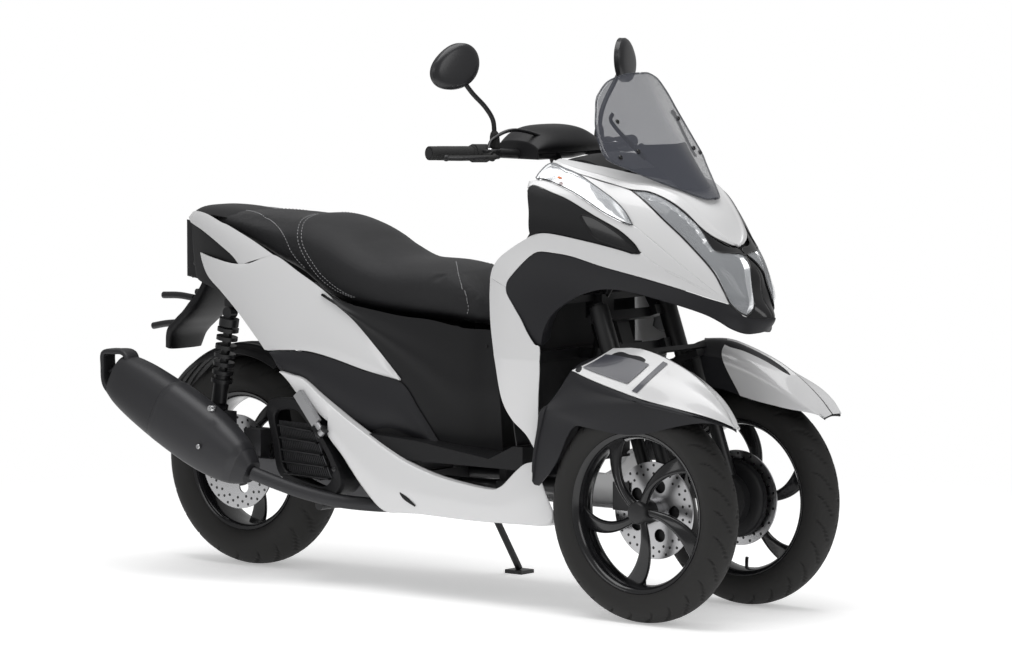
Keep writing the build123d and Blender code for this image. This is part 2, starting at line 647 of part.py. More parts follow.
# Tail: lamp, centre cover, white side covers
with BuildPart() as tail_lamp:
    prism([(-800, 702), (-852, 684), (-868, 760), (-866, 822), (-850, 856), (-800, 866)], -62, 62)
keep("tail_lamp", tail_lamp)

with BuildPart() as tail_cover:
    prism([(-800, 702), (-800, 866), (-742, 866), (-742, 852), (-604, 840), (-560, 790), (-600, 760), (-735, 754),
           (-774, 754), (-782, 702)], -95, 95)
    add(main_frame.part, mode=Mode.SUBTRACT)
keep("tail_cover", tail_cover)

flank_plan = ((-800, 95), (-700, 134), (-600, 160), (-450, 180), (-250, 184), (-100, 172), (20, 150), (120, 128),
              (176, 104))
flank_t = 5.0


def band(plan, side, z0, z1, thick):
    ring = [(x, side * y) for x, y in plan]
    ring += [(x, side * (y - thick)) for x, y in reversed(plan)]
    with BuildSketch(Plane(origin=(0, 0, z0))) as flat:
        with BuildLine():
            Polyline(*ring, close=True)
        make_face()
    return extrude(flat.sketch, amount=z1 - z0)


white_flank = [(-796, 846), (-700, 850), (-580, 834), (-444, 775), (-286, 675), (-214, 608), (-43, 500),
               (-252, 547), (-459, 547), (-600, 648), (-700, 728), (-730, 774), (-796, 838)]
grab_hole = [(-690, 798), (-630, 750), (-557, 745), (-600, 796)]
white_skins = []
for side in side_names.values():
    with BuildPart() as white_skin:
        band(flank_plan, side, 480, 880, flank_t)
        prism(white_flank, -hull_reach, hull_reach, Mode.INTERSECT)
        prism(grab_hole, -hull_reach, hull_reach, Mode.SUBTRACT)
    white_skins.append(white_skin.part)

with BuildPart() as side_covers:
    add(white_skins)
    for side in side_names.values():
        block(-600, -570, side * 122, side * 158, 690, 704)
    add(main_frame.part, mode=Mode.SUBTRACT)
    add(tail_cover.part, mode=Mode.SUBTRACT)
keep("side_covers", side_covers)

# Centre cover under the seat, floor board, storage tub
black_flank = [(-249, 639), (-214, 608), (-43, 500), (-252, 547), (-430, 547), (-386, 500), (-119, 374),
               (-60, 318), (176, 318), (176, 514), (168, 596), (100, 632), (-60, 639)]
floor_line = [(-120, 318), (-120, 372), (26, 365), (250, 338), (322, 372), (350, 372), (350, 318)]
seat_pivot = (150.0, 0.0, 624.0)
with BuildPart() as floor_board:
    prism(floor_line, -200, 200)
    block(-130, -40, -130, 130, 310, 380, Mode.SUBTRACT)
    add(main_frame.part, mode=Mode.SUBTRACT)
keep("floor_board", floor_board)

black_skins = []
for side in side_names.values():
    with BuildPart() as black_skin:
        band(flank_plan, side, 300, 700, flank_t)
        prism(black_flank, -hull_reach, hull_reach, Mode.INTERSECT)
    black_skins.append(black_skin.part)

with BuildPart() as centre_cover:
    add(black_skins)
    block(170, 176, -104, 104, 330, 590)
    block(110, 172, -110, 110, 584, 590)
    for side in side_names.values():
        block(140, 160, side * 32, side * 40, 588, 632)
    rod((seat_pivot[0], -38, seat_pivot[2]), (seat_pivot[0], 38, seat_pivot[2]), 5)
    add(floor_board.part, mode=Mode.SUBTRACT)
    add(main_frame.part, mode=Mode.SUBTRACT)
    add(side_covers.part, mode=Mode.SUBTRACT)
keep("centre_cover", centre_cover)

tub_x = (-372.0, -62.0)
tub_z = (440.0, 640.0)
tub_t = 5.0
with BuildPart() as storage_tub:
    block(tub_x[0], tub_x[1], -tub_half, tub_half, tub_z[0], tub_z[1])
    block(tub_x[0] - 8, tub_x[1] + 20, -150, 150, tub_z[1] - 6, tub_z[1])
    block(tub_x[0] + tub_t, tub_x[1] - tub_t, -tub_half + tub_t, tub_half - tub_t, tub_z[0] + tub_t, tub_z[1] + 1,
          Mode.SUBTRACT)
    add(main_frame.part, mode=Mode.SUBTRACT)
keep("storage_tub", storage_tub)

# Seat: two levels, hinged at its nose
seat_rows = (
    (-742.0, ((0, 852), (66, 852), (82, 857), (62, 863), (0, 866))),
    (-604.0, ((0, 840), (116, 840), (134, 850), (112, 864), (0, 869))),
    (-480.0, ((0, 798), (134, 798), (152, 818), (124, 858), (0, 867))),
    (-372.0, ((0, 742), (138, 742), (158, 772), (130, 850), (0, 872))),
    (-292.0, ((0, 640), (140, 640), (160, 706), (132, 812), (0, 848))),
    (-225.0, ((0, 640), (140, 640), (160, 692), (130, 786), (0, 808))),
    (-140.0, ((0, 640), (138, 640), (156, 682), (128, 756), (0, 776))),
    (0.0, ((0, 640), (118, 640), (142, 672), (116, 752), (0, 772))),
    (96.0, ((0, 640), (98, 640), (116, 662), (88, 722), (0, 744))),
    (190.0, ((0, 636), (56, 636), (70, 642), (48, 656), (0, 662))),
)
with BuildPart() as seat:
    section_loft(seat_rows, ruled=True)
    block(134, 164, -30, 30, 620, 642)
    rod((seat_pivot[0], -30, seat_pivot[2]), (seat_pivot[0], 30, seat_pivot[2]), 11)
    rod((seat_pivot[0], -60, seat_pivot[2]), (seat_pivot[0], 60, seat_pivot[2]), 5 + run_gap, Mode.SUBTRACT)
keep("seat", seat)

# Lower fairings below the floor
fairing_plan = ((-372, 196), (-200, 208), (0, 214), (250, 214), (404, 202))
fairing = [(-364, 504), (-307, 493), (-213, 447), (-73, 372), (95, 330), (269, 304), (308, 308), (348, 335), (400, 345),
           (404, 303), (398, 226), (390, 202), (232, 192), (-3, 194), (-56, 197), (-164, 302), (-233, 373)]
fairing_skins = []
for side in side_names.values():
    with BuildPart() as fairing_skin:
        band(fairing_plan, side, 180, 520, flank_t)
        prism(fairing, -hull_reach, hull_reach, Mode.INTERSECT)
    fairing_skins.append(fairing_skin.part)

with BuildPart() as lower_fairings:
    add(fairing_skins)
    for side in side_names.values():
        block(100, 240, side * 198, side * 212, 318, 324)
    add(floor_board.part, mode=Mode.SUBTRACT)
    add(pieces["front_cowl"], mode=Mode.SUBTRACT)
    add(main_frame.part, mode=Mode.SUBTRACT)
keep("lower_fairings", lower_fairings)

# Stands and pillion pegs
with BuildPart() as side_stand:
    foot = stand_at + stand_down
    rod(stand_at - stand_axis * 8, stand_at + stand_axis * 8, 12)
    rod(stand_at + stand_down * 0.03, stand_at + stand_down * 0.995, 8.3)
    block(foot.X - 26, foot.X + 26, foot.Y - 24, foot.Y + 24, 0, 9)
    rod(stand_at - stand_axis * 20, stand_at + stand_axis * 20, 5 + run_gap, Mode.SUBTRACT)
keep("side_stand", side_stand)

with BuildPart() as centre_stand:
    px, _, pz = centre_pivot
    rod((px, -70, pz), (px, 70, pz), 11)
    for side in side_names.values():
        tube([(px, side * 58, pz), (px - 120, side * 62, pz - 6), (px - 190, side * 96, pz - 8)], 9, 30)
        rod((px - 190, side * 84, pz - 8), (px - 190, side * 122, pz - 8), 12)
    rod((px, -80, pz), (px, 80, pz), 6 + run_gap, Mode.SUBTRACT)
keep("centre_stand", centre_stand)

peg_len = 116.0
for name, side in side_names.items():
    root = peg_at[name]
    with BuildPart() as peg:
        rod(root - peg_axis * 8, root + peg_axis * 8, 8.5)
        rod(root + peg_way * 7, root + peg_way * peg_len, 7)
        with BuildSketch(Plane(origin=root + peg_way * 26, x_dir=peg_axis, z_dir=peg_way)) as flat:
            Rectangle(24, 14)
        extrude(flat.sketch, amount=peg_len - 26)
        rod(root - peg_axis * 20, root + peg_axis * 20, pin_r + run_gap, Mode.SUBTRACT)
    keep(f"peg_{name}", peg)

for name, piece in pieces.items():
    export_step(piece, f"parts/{name}.step")
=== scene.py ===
# The looks of a leaning reverse trike scooter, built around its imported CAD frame.
# Metres. +X forward, +Y to the rider's left, +Z up.
import math

import bmesh
import bpy
import numpy as np
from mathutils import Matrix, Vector
from mathutils.bvhtree import BVHTree


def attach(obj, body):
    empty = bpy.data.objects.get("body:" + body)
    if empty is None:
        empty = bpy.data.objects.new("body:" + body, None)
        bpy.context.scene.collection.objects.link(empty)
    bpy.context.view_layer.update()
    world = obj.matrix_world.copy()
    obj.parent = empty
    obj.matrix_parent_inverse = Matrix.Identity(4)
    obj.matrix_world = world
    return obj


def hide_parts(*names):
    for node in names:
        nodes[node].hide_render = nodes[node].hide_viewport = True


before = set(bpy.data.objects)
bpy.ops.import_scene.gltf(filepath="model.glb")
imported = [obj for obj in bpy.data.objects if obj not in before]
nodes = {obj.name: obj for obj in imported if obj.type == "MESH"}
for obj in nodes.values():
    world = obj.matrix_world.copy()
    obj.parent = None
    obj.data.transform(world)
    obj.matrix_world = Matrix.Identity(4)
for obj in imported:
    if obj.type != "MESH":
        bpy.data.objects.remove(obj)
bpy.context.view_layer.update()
mm = 0.001

# Driving dimensions, as in the CAD
size = {
    "frontX": 0.697, "rearX": -0.653, "halfTrack": 0.1925, "frontR": 0.250, "rearR": 0.256,
    "frontRimR": 0.180, "rearRimR": 0.167,
}
sides = {"right": -1.0, "left": 1.0}
hubs = {side: (size["frontX"], turn * size["halfTrack"], size["frontR"]) for side, turn in sides.items()}
rearHub = (size["rearX"], 0.0, size["rearR"])
# The photograph's camera, and its frame in pixels
view = {
    "x": 7.312, "y": -8.7655, "z": 1.5924, "azimuth": 39.30, "elevation": 4.95, "lens": 173.0, "sensor": 36.0,
    "wide": 1012, "tall": 664,
}


# Shader maths: a socket that takes part in Python expressions
class Wire:
    def __init__(self, tree, socket):
        self.tree = tree
        self.socket = socket

    def math(self, operation, *others):
        return self.node("Math", {"operation": operation}, dict(enumerate((self,) + others)))

    def node(self, kind, settings=None, inputs=None, output=0):
        made = self.tree.nodes.new("ShaderNode" + kind)
        for key, value in (settings or {}).items():
            setattr(made, key, value)
        for key, value in (inputs or {}).items():
            plug(self.tree, made.inputs[key], value)
        return Wire(self.tree, made.outputs[output])

    def __add__(self, other):
        return self.math("ADD", other)

    def __radd__(self, other):
        return self.math("ADD", other)

    def __sub__(self, other):
        return self.math("SUBTRACT", other)

    def __rsub__(self, other):
        return (self * -1.0) + other

    def __mul__(self, other):
        return self.math("MULTIPLY", other)

    def __rmul__(self, other):
        return self.math("MULTIPLY", other)

    def clamp(self):
        return self.node("Clamp", None, {0: self})

    def step(self, low, high):
        return self.node("MapRange", {"interpolation_type": "SMOOTHSTEP"}, {0: self, 1: low, 2: high})

    def mix(self, first, second):
        return self.node("Mix", {"data_type": "RGBA"}, {0: self, 6: first, 7: second}, 2)


def plug(tree, socket, value):
    if isinstance(value, Wire):
        tree.links.new(value.socket, socket)
    else:
        socket.default_value = value


# One finish: base colour with a slow shade change, fine speckle, roughness change and grain
def finish(name, look, extra=None):
    made = bpy.data.materials.new(name)
    made.use_nodes = True
    tree = made.node_tree
    shader = tree.nodes["Principled BSDF"]
    place = tree.nodes.new("ShaderNodeTexCoord")
    start = Wire(tree, place.outputs["Object"])
    colour = look["colour"] + (1.0,)
    broad = start.node("TexNoise", None, {"Vector": start, "Scale": look.get("broad", 6.0), "Detail": 3.0})
    fine = start.node("TexNoise", None, {"Vector": start, "Scale": look.get("grain", 900.0), "Detail": 2.0})
    shade = (broad - 0.5) * look.get("shade", 0.25) + (fine - 0.5) * look.get("speckle", 0.1)
    dark = tuple(c * 0.6 for c in look["colour"]) + (1.0,)
    light = tuple(min(1.0, c * 1.35) for c in look["colour"]) + (1.0,)
    base = (shade + 0.5).clamp().mix(dark, light)
    rough = (broad - 0.5) * look.get("roughShade", 0.08) + look["rough"]
    plug(tree, shader.inputs["Base Color"], base)
    plug(tree, shader.inputs["Roughness"], rough.clamp())
    shader.inputs["Metallic"].default_value = look.get("metal", 0.0)
    shader.inputs["Coat Weight"].default_value = look.get("coat", 0.0)
    shader.inputs["Coat Roughness"].default_value = 0.04
    shader.inputs["Specular IOR Level"].default_value = look.get("specular", 0.5)
    shader.inputs["Base Color"].default_value = colour
    height = extra(start, fine) if extra else fine
    if look.get("bump", 0.0):
        bump = start.node("Bump", None, {"Strength": look["bump"], "Distance": look.get("depth", 0.0004),
                                         "Height": height})
        plug(tree, shader.inputs["Normal"], bump)
    return made


# Height fields for the bump: leather cells, cast pits, and rings left by turning
def leather(start, fine):
    cells = start.node("TexVoronoi", {"feature": "DISTANCE_TO_EDGE"}, {"Vector": start, "Scale": 620.0})
    return cells.step(0.0, 0.25) + fine * 0.3


def cast(start, fine):
    pits = start.node("TexVoronoi", None, {"Vector": start, "Scale": 900.0})
    return pits * 0.7 + fine * 0.5


def brushed(start, fine):
    drawn = start.node("Mapping", None, {0: start, "Scale": (60, 900, 60)})
    return start.node("TexNoise", None, {"Vector": drawn, "Scale": 3.0, "Detail": 4.0})


looks = {
    "white": {"colour": (0.70, 0.70, 0.705), "rough": 0.26, "coat": 0.6, "shade": 0.03, "speckle": 0.02,
        "roughShade": 0.03, "bump": 0.03, "broad": 2.0},
    "blackPlastic": {"colour": (0.008, 0.008, 0.009), "rough": 0.44, "specular": 0.26, "bump": 0.35,
        "grain": 1500.0},
    "greyPlastic": {"colour": (0.014, 0.014, 0.0165), "rough": 0.46, "specular": 0.28, "bump": 0.30,
        "grain": 1500.0},
    "gloss": {"colour": (0.007, 0.007, 0.008), "rough": 0.18, "coat": 0.25, "specular": 0.4, "bump": 0.03,
        "shade": 0.15},
    "satin": {"colour": (0.012, 0.012, 0.013), "rough": 0.36, "specular": 0.4, "bump": 0.10},
    "rubber": {"colour": (0.016, 0.0155, 0.015), "rough": 0.72, "bump": 0.45, "grain": 1100.0,
        "specular": 0.35},
    "grip": {"colour": (0.018, 0.018, 0.018), "rough": 0.66, "bump": 0.4, "specular": 0.4},
    "alloy": {"colour": (0.40, 0.40, 0.41), "rough": 0.42, "metal": 0.85, "bump": 0.5},
    "darkAlloy": {"colour": (0.10, 0.10, 0.105), "rough": 0.45, "metal": 0.7, "bump": 0.5},
    "steel": {"colour": (0.52, 0.52, 0.53), "rough": 0.28, "metal": 1.0, "bump": 0.15},
    "heatBlack": {"colour": (0.020, 0.020, 0.0225), "rough": 0.48, "bump": 0.25, "grain": 1600.0,
        "metal": 0.2},
    "fenderWhite": {"colour": (0.66, 0.66, 0.665), "rough": 0.28, "coat": 0.6, "shade": 0.03, "speckle": 0.02,
        "roughShade": 0.03, "bump": 0.03, "broad": 2.0},
    "shieldBlack": {"colour": (0.026, 0.026, 0.029), "rough": 0.44, "bump": 0.2, "grain": 1600.0,
        "metal": 0.2},
    "mirrorBlack": {"colour": (0.016, 0.016, 0.018), "rough": 0.30, "bump": 0.06, "specular": 0.5},
    "bandGrey": {"colour": (0.045, 0.046, 0.060), "rough": 0.30, "coat": 0.4, "shade": 0.1, "bump": 0.03},
    "seat": {"colour": (0.014, 0.014, 0.0155), "rough": 0.47, "bump": 0.55, "depth": 0.0005,
        "specular": 0.34},
    "thread": {"colour": (0.35, 0.35, 0.36), "rough": 0.8, "bump": 0.3},
    "redLens": {"colour": (0.09, 0.006, 0.006), "rough": 0.12, "coat": 0.8},
    "amber": {"colour": (0.75, 0.16, 0.01), "rough": 0.25},
    "silver": {"colour": (0.75, 0.76, 0.78), "rough": 0.16, "metal": 1.0, "bump": 0.02},
}
extras = {"seat": leather, "alloy": cast, "darkAlloy": cast, "steel": brushed}
finishes = {name: finish(name, look, extras.get(name)) for name, look in looks.items()}
print("finishes made")


# A see-through finish; see is how much of the surface is opaque
def lens(name, tint, see, rough):
    made = bpy.data.materials.new(name)
    made.use_nodes = True
    tree = made.node_tree
    shader = tree.nodes["Principled BSDF"]
    place = tree.nodes.new("ShaderNodeTexCoord")
    start = Wire(tree, place.outputs["Object"])
    haze = start.node("TexNoise", None, {"Vector": start, "Scale": 4.0, "Detail": 2.0})
    plug(tree, shader.inputs["Base Color"], haze.mix(tuple(c * 0.9 for c in tint) + (1,), tint + (1,)))
    plug(tree, shader.inputs["Alpha"], haze * 0.06 + see)
    shader.inputs["Roughness"].default_value = rough
    shader.inputs["Coat Weight"].default_value = 0.5
    return made


# Tint, share that is opaque, roughness
lenses = {
    "clear": ((0.85, 0.88, 0.92), 0.16, 0.05), "smoke": ((0.075, 0.08, 0.10), 0.50, 0.06),
    "edgeSmoke": ((0.05, 0.055, 0.07), 0.72, 0.08),
}
for name, terms in lenses.items():
    finishes[name] = lens(name, *terms)

# The finish of each CAD node
nodeFinish = {
    "white": "front_cowl side_covers lower_fairings fender_right fender_left",
    "blackPlastic": "side_panels leg_shield meter_hood centre_cover floor_board tail_cover rear_mudguard "
                    "radiator_cover storage_tub bar_cover mirrors",
    "greyPlastic": "chin_cowl",
    "grip": "bar_controls",
    "satin": "handlebar main_frame linkage tie_rod fork_right fork_left side_stand centre_stand rear_shocks",
    "darkAlloy": "engine drive_case",
    "heatBlack": "exhaust",
    "clear": "front_lamps",
    "redLens": "tail_lamp",
    "smoke": "windshield",
    "seat": "seat",
    "gloss": "front_wheel_right front_wheel_left rear_wheel",
    "rubber": "front_tyre_right front_tyre_left rear_tyre",
    "steel": "front_disc_right front_disc_left rear_disc",
    "alloy": "peg_right peg_left",
}
for key, names in nodeFinish.items():
    for name in names.split():
        nodes[name].data.materials.clear()
        nodes[name].data.materials.append(finishes[key])


# The cubic through four neighbours, at share u between b and c
def cubic(a, b, c, d, u):
    return 0.5 * (2 * b + (c - a) * u + (2 * a - 5 * b + 4 * c - d) * u ** 2
                  + (3 * b - a - 3 * c + d) * u ** 3)


# A smooth run through named points, spaced evenly along its length
def smooth(points, count, closed=False):
    p = np.array(points, float)
    if closed:
        p = np.vstack([p[-1:], p, p[:2]])
    else:
        p = np.vstack([2 * p[0] - p[1], p, 2 * p[-1] - p[-2]])
    step = np.maximum(np.linalg.norm(np.diff(p[1:-1], axis=0), axis=1), 1e-9)
    place = np.concatenate([[0.0], np.cumsum(step)])
    want = np.linspace(0.0, place[-1], count, endpoint=not closed)
    i = np.clip(np.searchsorted(place, want, side="right") - 1, 0, len(step) - 1)
    u = ((want - place[i]) / step[i])[:, None]
    return cubic(p[i], p[i + 1], p[i + 2], p[i + 3], u)


# Directions, mirror images and pairs of sheets
def unit(v):
    return v / np.maximum(np.linalg.norm(v, axis=-1, keepdims=True), 1e-12)


def mirrored(sheet):
    return sheet * np.array([1.0, -1.0, 1.0])


def both(sheet):
    return [sheet, mirrored(sheet)]


# Right half brought up to the middle plane, and its mirror image
def halves(sheet, near=0.0016):
    y = np.minimum(sheet[..., 1], 0.0)
    sheet = np.stack([sheet[..., 0], np.where(y > -near, 0.0, y), sheet[..., 2]], -1)
    return both(sheet)


# One piece from grids of points. away is a point inside the form, so that faces turn outwards
def surface(name, sheets, look, body="chassis", closeU=False, closeV=False, away=None, thick=0.0, bevel=0.0,
            caps=False, weld=0.0, crease=35.0):
    verts, faces, ends, start = [], [], [], 0
    for sheet in sheets:
        n, m = sheet.shape[:2]
        inside = sheet.reshape(-1, 3).mean(0) if away is None else np.array(away)
        if away is not None and away[1] != 0 and sheet.reshape(-1, 3)[:, 1].mean() * away[1] < 0:
            inside = inside * np.array([1.0, -1.0, 1.0])
        du = np.gradient(sheet, axis=0)
        dv = np.gradient(sheet, axis=1)
        flip = np.sum(np.cross(du, dv) * (sheet - inside)) < 0
        index = np.arange(n * m).reshape(n, m) + start
        if closeU:
            index = np.vstack([index, index[:1]])
        if closeV:
            index = np.hstack([index, index[:, :1]])
        quads = np.stack([index[:-1, :-1], index[1:, :-1], index[1:, 1:], index[:-1, 1:]], -1).reshape(-1, 4)
        if flip:
            quads = quads[:, ::-1]
        faces.append(quads)
        if caps:
            first, last = index[0, :m][::-1], index[-1, :m]
            ends += [first[::-1], last[::-1]] if flip else [first, last]
        verts.append(sheet.reshape(-1, 3))
        start += n * m
    mesh = bpy.data.meshes.new(name)
    mesh.from_pydata(np.vstack(verts).tolist(), [], np.vstack(faces).tolist() + [e.tolist() for e in ends])
    mesh.validate()
    return finishPiece(name, mesh, body, look, thick, bevel, weld, crease)


# A mesh made a piece: welded, shaded, given its wall or rounded edges, its body and its slot
def finishPiece(name, mesh, body, look, thick=0.0, bevel=0.0, weld=0.0, crease=35.0):
    if weld:
        work = bmesh.new()
        work.from_mesh(mesh)
        bmesh.ops.remove_doubles(work, verts=work.verts, dist=weld)
        work.to_mesh(mesh)
        work.free()
    mesh.polygons.foreach_set("use_smooth", np.ones(len(mesh.polygons), bool))
    piece = bpy.data.objects.new(name, mesh)
    bpy.context.scene.collection.objects.link(piece)
    mesh.materials.append(finishes[look])
    if thick:
        wall = piece.modifiers.new("wall", "SOLIDIFY")
        wall.thickness = thick
        wall.offset = -1.0
        wall.use_even_offset = False
    if bevel:
        edge = piece.modifiers.new("edge", "BEVEL")
        edge.width = bevel
        edge.segments = 2
        edge.limit_method = "ANGLE"
        edge.angle_limit = math.radians(45)
        piece.modifiers.new("shade", "WEIGHTED_NORMAL")
    elif thick:
        piece.modifiers.new("shade", "WEIGHTED_NORMAL")
    else:
        mesh.set_sharp_from_angle(angle=math.radians(crease))
    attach(piece, body)
    return piece


# A profile (side, up) carried along a path; grow scales it along the way
def sweep(path, profile, grow=1.0, up=(0, 0, 1)):
    path = np.array(path, float)
    along = unit(np.gradient(path, axis=0))
    side = unit(np.cross(np.broadcast_to(np.array(up, float), along.shape), along))
    top = np.cross(along, side)
    grow = np.broadcast_to(np.asarray(grow, float), (len(path),))[:, None, None]
    return path[:, None] + grow * (profile[None, :, :1] * side[:, None] + profile[None, :, 1:] * top[:, None])


# Profiles for sweeps: a circle or oval, and a rounded box by a superellipse
def ringOf(radius, count=16, squash=1.0):
    a = np.linspace(0, 2 * np.pi, count, endpoint=False)
    return np.stack([radius * np.cos(a), radius * squash * np.sin(a)], -1)


def rounded(wide, tall, power=4.0, count=40):
    a = np.linspace(0, 2 * np.pi, count, endpoint=False)
    c, s = np.cos(a), np.sin(a)
    return np.stack([wide / 2 * np.sign(c) * np.abs(c) ** (2 / power),
                     tall / 2 * np.sign(s) * np.abs(s) ** (2 / power)], -1)


# A round pipe through points
def tube(points, radius, count=40, sides=14, up=(0, 0, 1)):
    return sweep(smooth(points, count), ringOf(radius, sides), up=up)


# A profile (radius, y) turned about the line through the centre along Y
def turned(profile, centre, count=96):
    profile = np.array(profile, float)
    a = np.linspace(0, 2 * np.pi, count, endpoint=False)
    r, y = profile[:, 0][:, None], profile[:, 1][:, None]
    return np.stack([centre[0] + r * np.sin(a), centre[1] + y + 0 * a, centre[2] + r * np.cos(a)], -1)


# A domed screw or button: rings shrinking to its top, at a point and facing a direction
def buttons(name, places, facing, radius, height, look, body="chassis", flat=0.35):
    facing = unit(np.array(facing, float))
    lean = np.array([0.0, 0.0, 1.0]) if abs(facing[2]) < 0.9 else np.array([1.0, 0.0, 0.0])
    side = unit(np.cross(lean, facing))
    up = np.cross(facing, side)
    steps = np.array([(0.0, 1.0), (0.6, 1.0), (1.0, 0.75), (1.0, flat), (0.7, flat * 0.9), (0.7, 0.0001)])
    a = np.linspace(0, 2 * np.pi, 16, endpoint=False)
    sheets = []
    for place in places:
        rim = np.cos(a)[None, :, None] * side + np.sin(a)[None, :, None] * up
        sheets.append(np.array(place, float) + steps[:, :1, None] * height * facing + steps[:, 1:,
            None] * radius * rim)
    return surface(name, sheets, look, body, closeV=True)


# The camera's rays through pixels of the photograph
def rays(pixels):
    pixels = np.array(pixels, float)
    az, el = math.radians(view["azimuth"]), math.radians(view["elevation"])
    back = np.array([math.sin(az) * math.cos(el), -math.cos(az) * math.cos(el), math.sin(el)])
    right = np.array([math.cos(az), math.sin(az), 0.0])
    up = np.cross(back, right)
    focus = view["lens"] / view["sensor"] * view["wide"]
    across = (pixels[:, :1] - view["wide"] / 2) / focus
    down = (pixels[:, 1:] - view["tall"] / 2) / focus
    way = across * right - down * up - back
    return np.array([view["x"], view["y"], view["z"]]), unit(way)


# Where the rays meet the upright plane at y
def onPlane(pixels, y):
    eye, way = rays(pixels)
    reach = (y - eye[1]) / way[:, 1]
    return eye + reach[:, None] * way


# Half width of a side at x, y = width(x); a pixel is placed there by repeated sighting
def sideWidth(plan, x):
    run = smooth(plan, 200)
    return np.interp(x, run[:, 0], run[:, 1])


def onSide(pixels, plan):
    place = onPlane(pixels, -sideWidth(plan, np.zeros(len(pixels))))
    for _ in range(12):
        place = onPlane(pixels, -sideWidth(plan, place[:, 0]))
    return place


# A side panel between two sighted edges, with a crown and turned-in edges
def sidePanel(upper, lower, plan, count=(64, 22), crown=0.004, lift=0.0):
    a = smooth(onSide(upper, plan), count[0])
    b = smooth(onSide(lower, plan), count[0])
    t = np.linspace(0, 1, count[1])[None, :, None]
    sheet = a[:, None] * (1 - t) + b[:, None] * t
    swell = crown * (1 - (2 * t[..., 0] - 1) ** 2) + lift
    sheet[..., 1] = -(sideWidth(plan, sheet[..., 0]) + swell)
    return sheet


# The cowl's envelope: distance from its middle, a smooth cubic blend over direction
# through the named half sections (y, z) at each station x, in millimetres
cowl = {
    "middle": (470, 0, 760),
    "sections": {290: ((226, 640), (250, 800), (238, 962), (160, 1018), (0, 1026)),
        420: ((236, 640), (252, 800), (236, 975), (160, 1022), (0, 1030)),
        560: ((205, 680), (226, 830), (203, 948), (130, 1003), (0, 1006)),
        700: ((160, 690), (178, 790), (150, 905), (92, 955), (0, 964)),
        770: ((126, 690), (134, 770), (112, 850), (62, 893), (0, 906)),
        830: ((94, 690), (97, 740), (88, 785), (58, 818), (0, 827)), 870: ((54, 690), (54, 730), (44, 758),
        (24, 775), (0, 779)), 895: ((23, 690), (25, 700), (20, 712), (0, 716)), 903: ((0, 690),),
        890: ((0, 652),), 860: ((60, 650),), 780: ((130, 650),), 640: ((185, 640),),},
}
cowlMiddle = np.array(cowl["middle"]) * mm
knots = np.array([(x, side * y, z) for x, half in cowl["sections"].items() for y, z in half
                  for side in ((1, -1) if y else (1,))], float) * mm - cowlMiddle
knotReach = np.linalg.norm(knots, axis=1)
knotWay = knots / knotReach[:, None]


# The blend's terms: cubed distance to each knot, a constant and a plane
def blendTerms(way):
    spread = np.linalg.norm(way[:, None] - knotWay[None], axis=2) ** 3
    return np.hstack([spread, np.ones((len(way), 1)), way])


knotTerms = blendTerms(knotWay)
system = np.zeros((len(knots) + 4, len(knots) + 4))
system[:len(knots)] = knotTerms
system[len(knots):, :len(knots)] = knotTerms[:, len(knots):].T
system[:len(knots), :len(knots)] -= 2e-4 * np.eye(len(knots))
cowlWeights = np.linalg.solve(system, np.concatenate([knotReach, np.zeros(4)]))


# Distance of the envelope from its middle, and the point there, raised by lift
def cowlReach(way):
    return (blendTerms(way.reshape(-1, 3)) @ cowlWeights).reshape(way.shape[:-1])


def onCowl(way, lift=0.0):
    way = unit(way)
    return cowlMiddle + (cowlReach(way) + lift)[..., None] * way


# Directions of edge points: pixels are sighted onto the envelope, places in mm are taken as they are
def heading(points):
    ways = []
    for point in points:
        if len(point) == 3:
            ways.append(unit(np.array(point, float) * mm - cowlMiddle))
            continue
        eye, way = rays([point])
        near = (cowlMiddle - eye) @ way[0]
        steps = near + np.linspace(-0.52, 0.42, 400)
        gap = eye + steps[:, None] * way - cowlMiddle
        depth = np.linalg.norm(gap, axis=1) - cowlReach(unit(gap))
        hits = np.where((depth[:-1] > 0) & (depth[1:] <= 0))[0]
        k = hits[0] if len(hits) else int(np.argmin(depth)) - 1
        part = depth[k] / (depth[k] - depth[k + 1]) if len(hits) else 0.0
        ways.append(unit(gap[k] + part * (gap[k + 1] - gap[k])))
    return np.array(ways)


# A panel of the envelope between two edges
def cowlPanel(upper, lower, count=(64, 20), lift=0.0):
    a = unit(smooth(heading(upper), count[0]))
    b = unit(smooth(heading(lower), count[0]))
    t = np.linspace(0, 1, count[1])[None, :, None]
    return onCowl(a[:, None] * (1 - t) + b[:, None] * t, lift)


print("helpers ready")

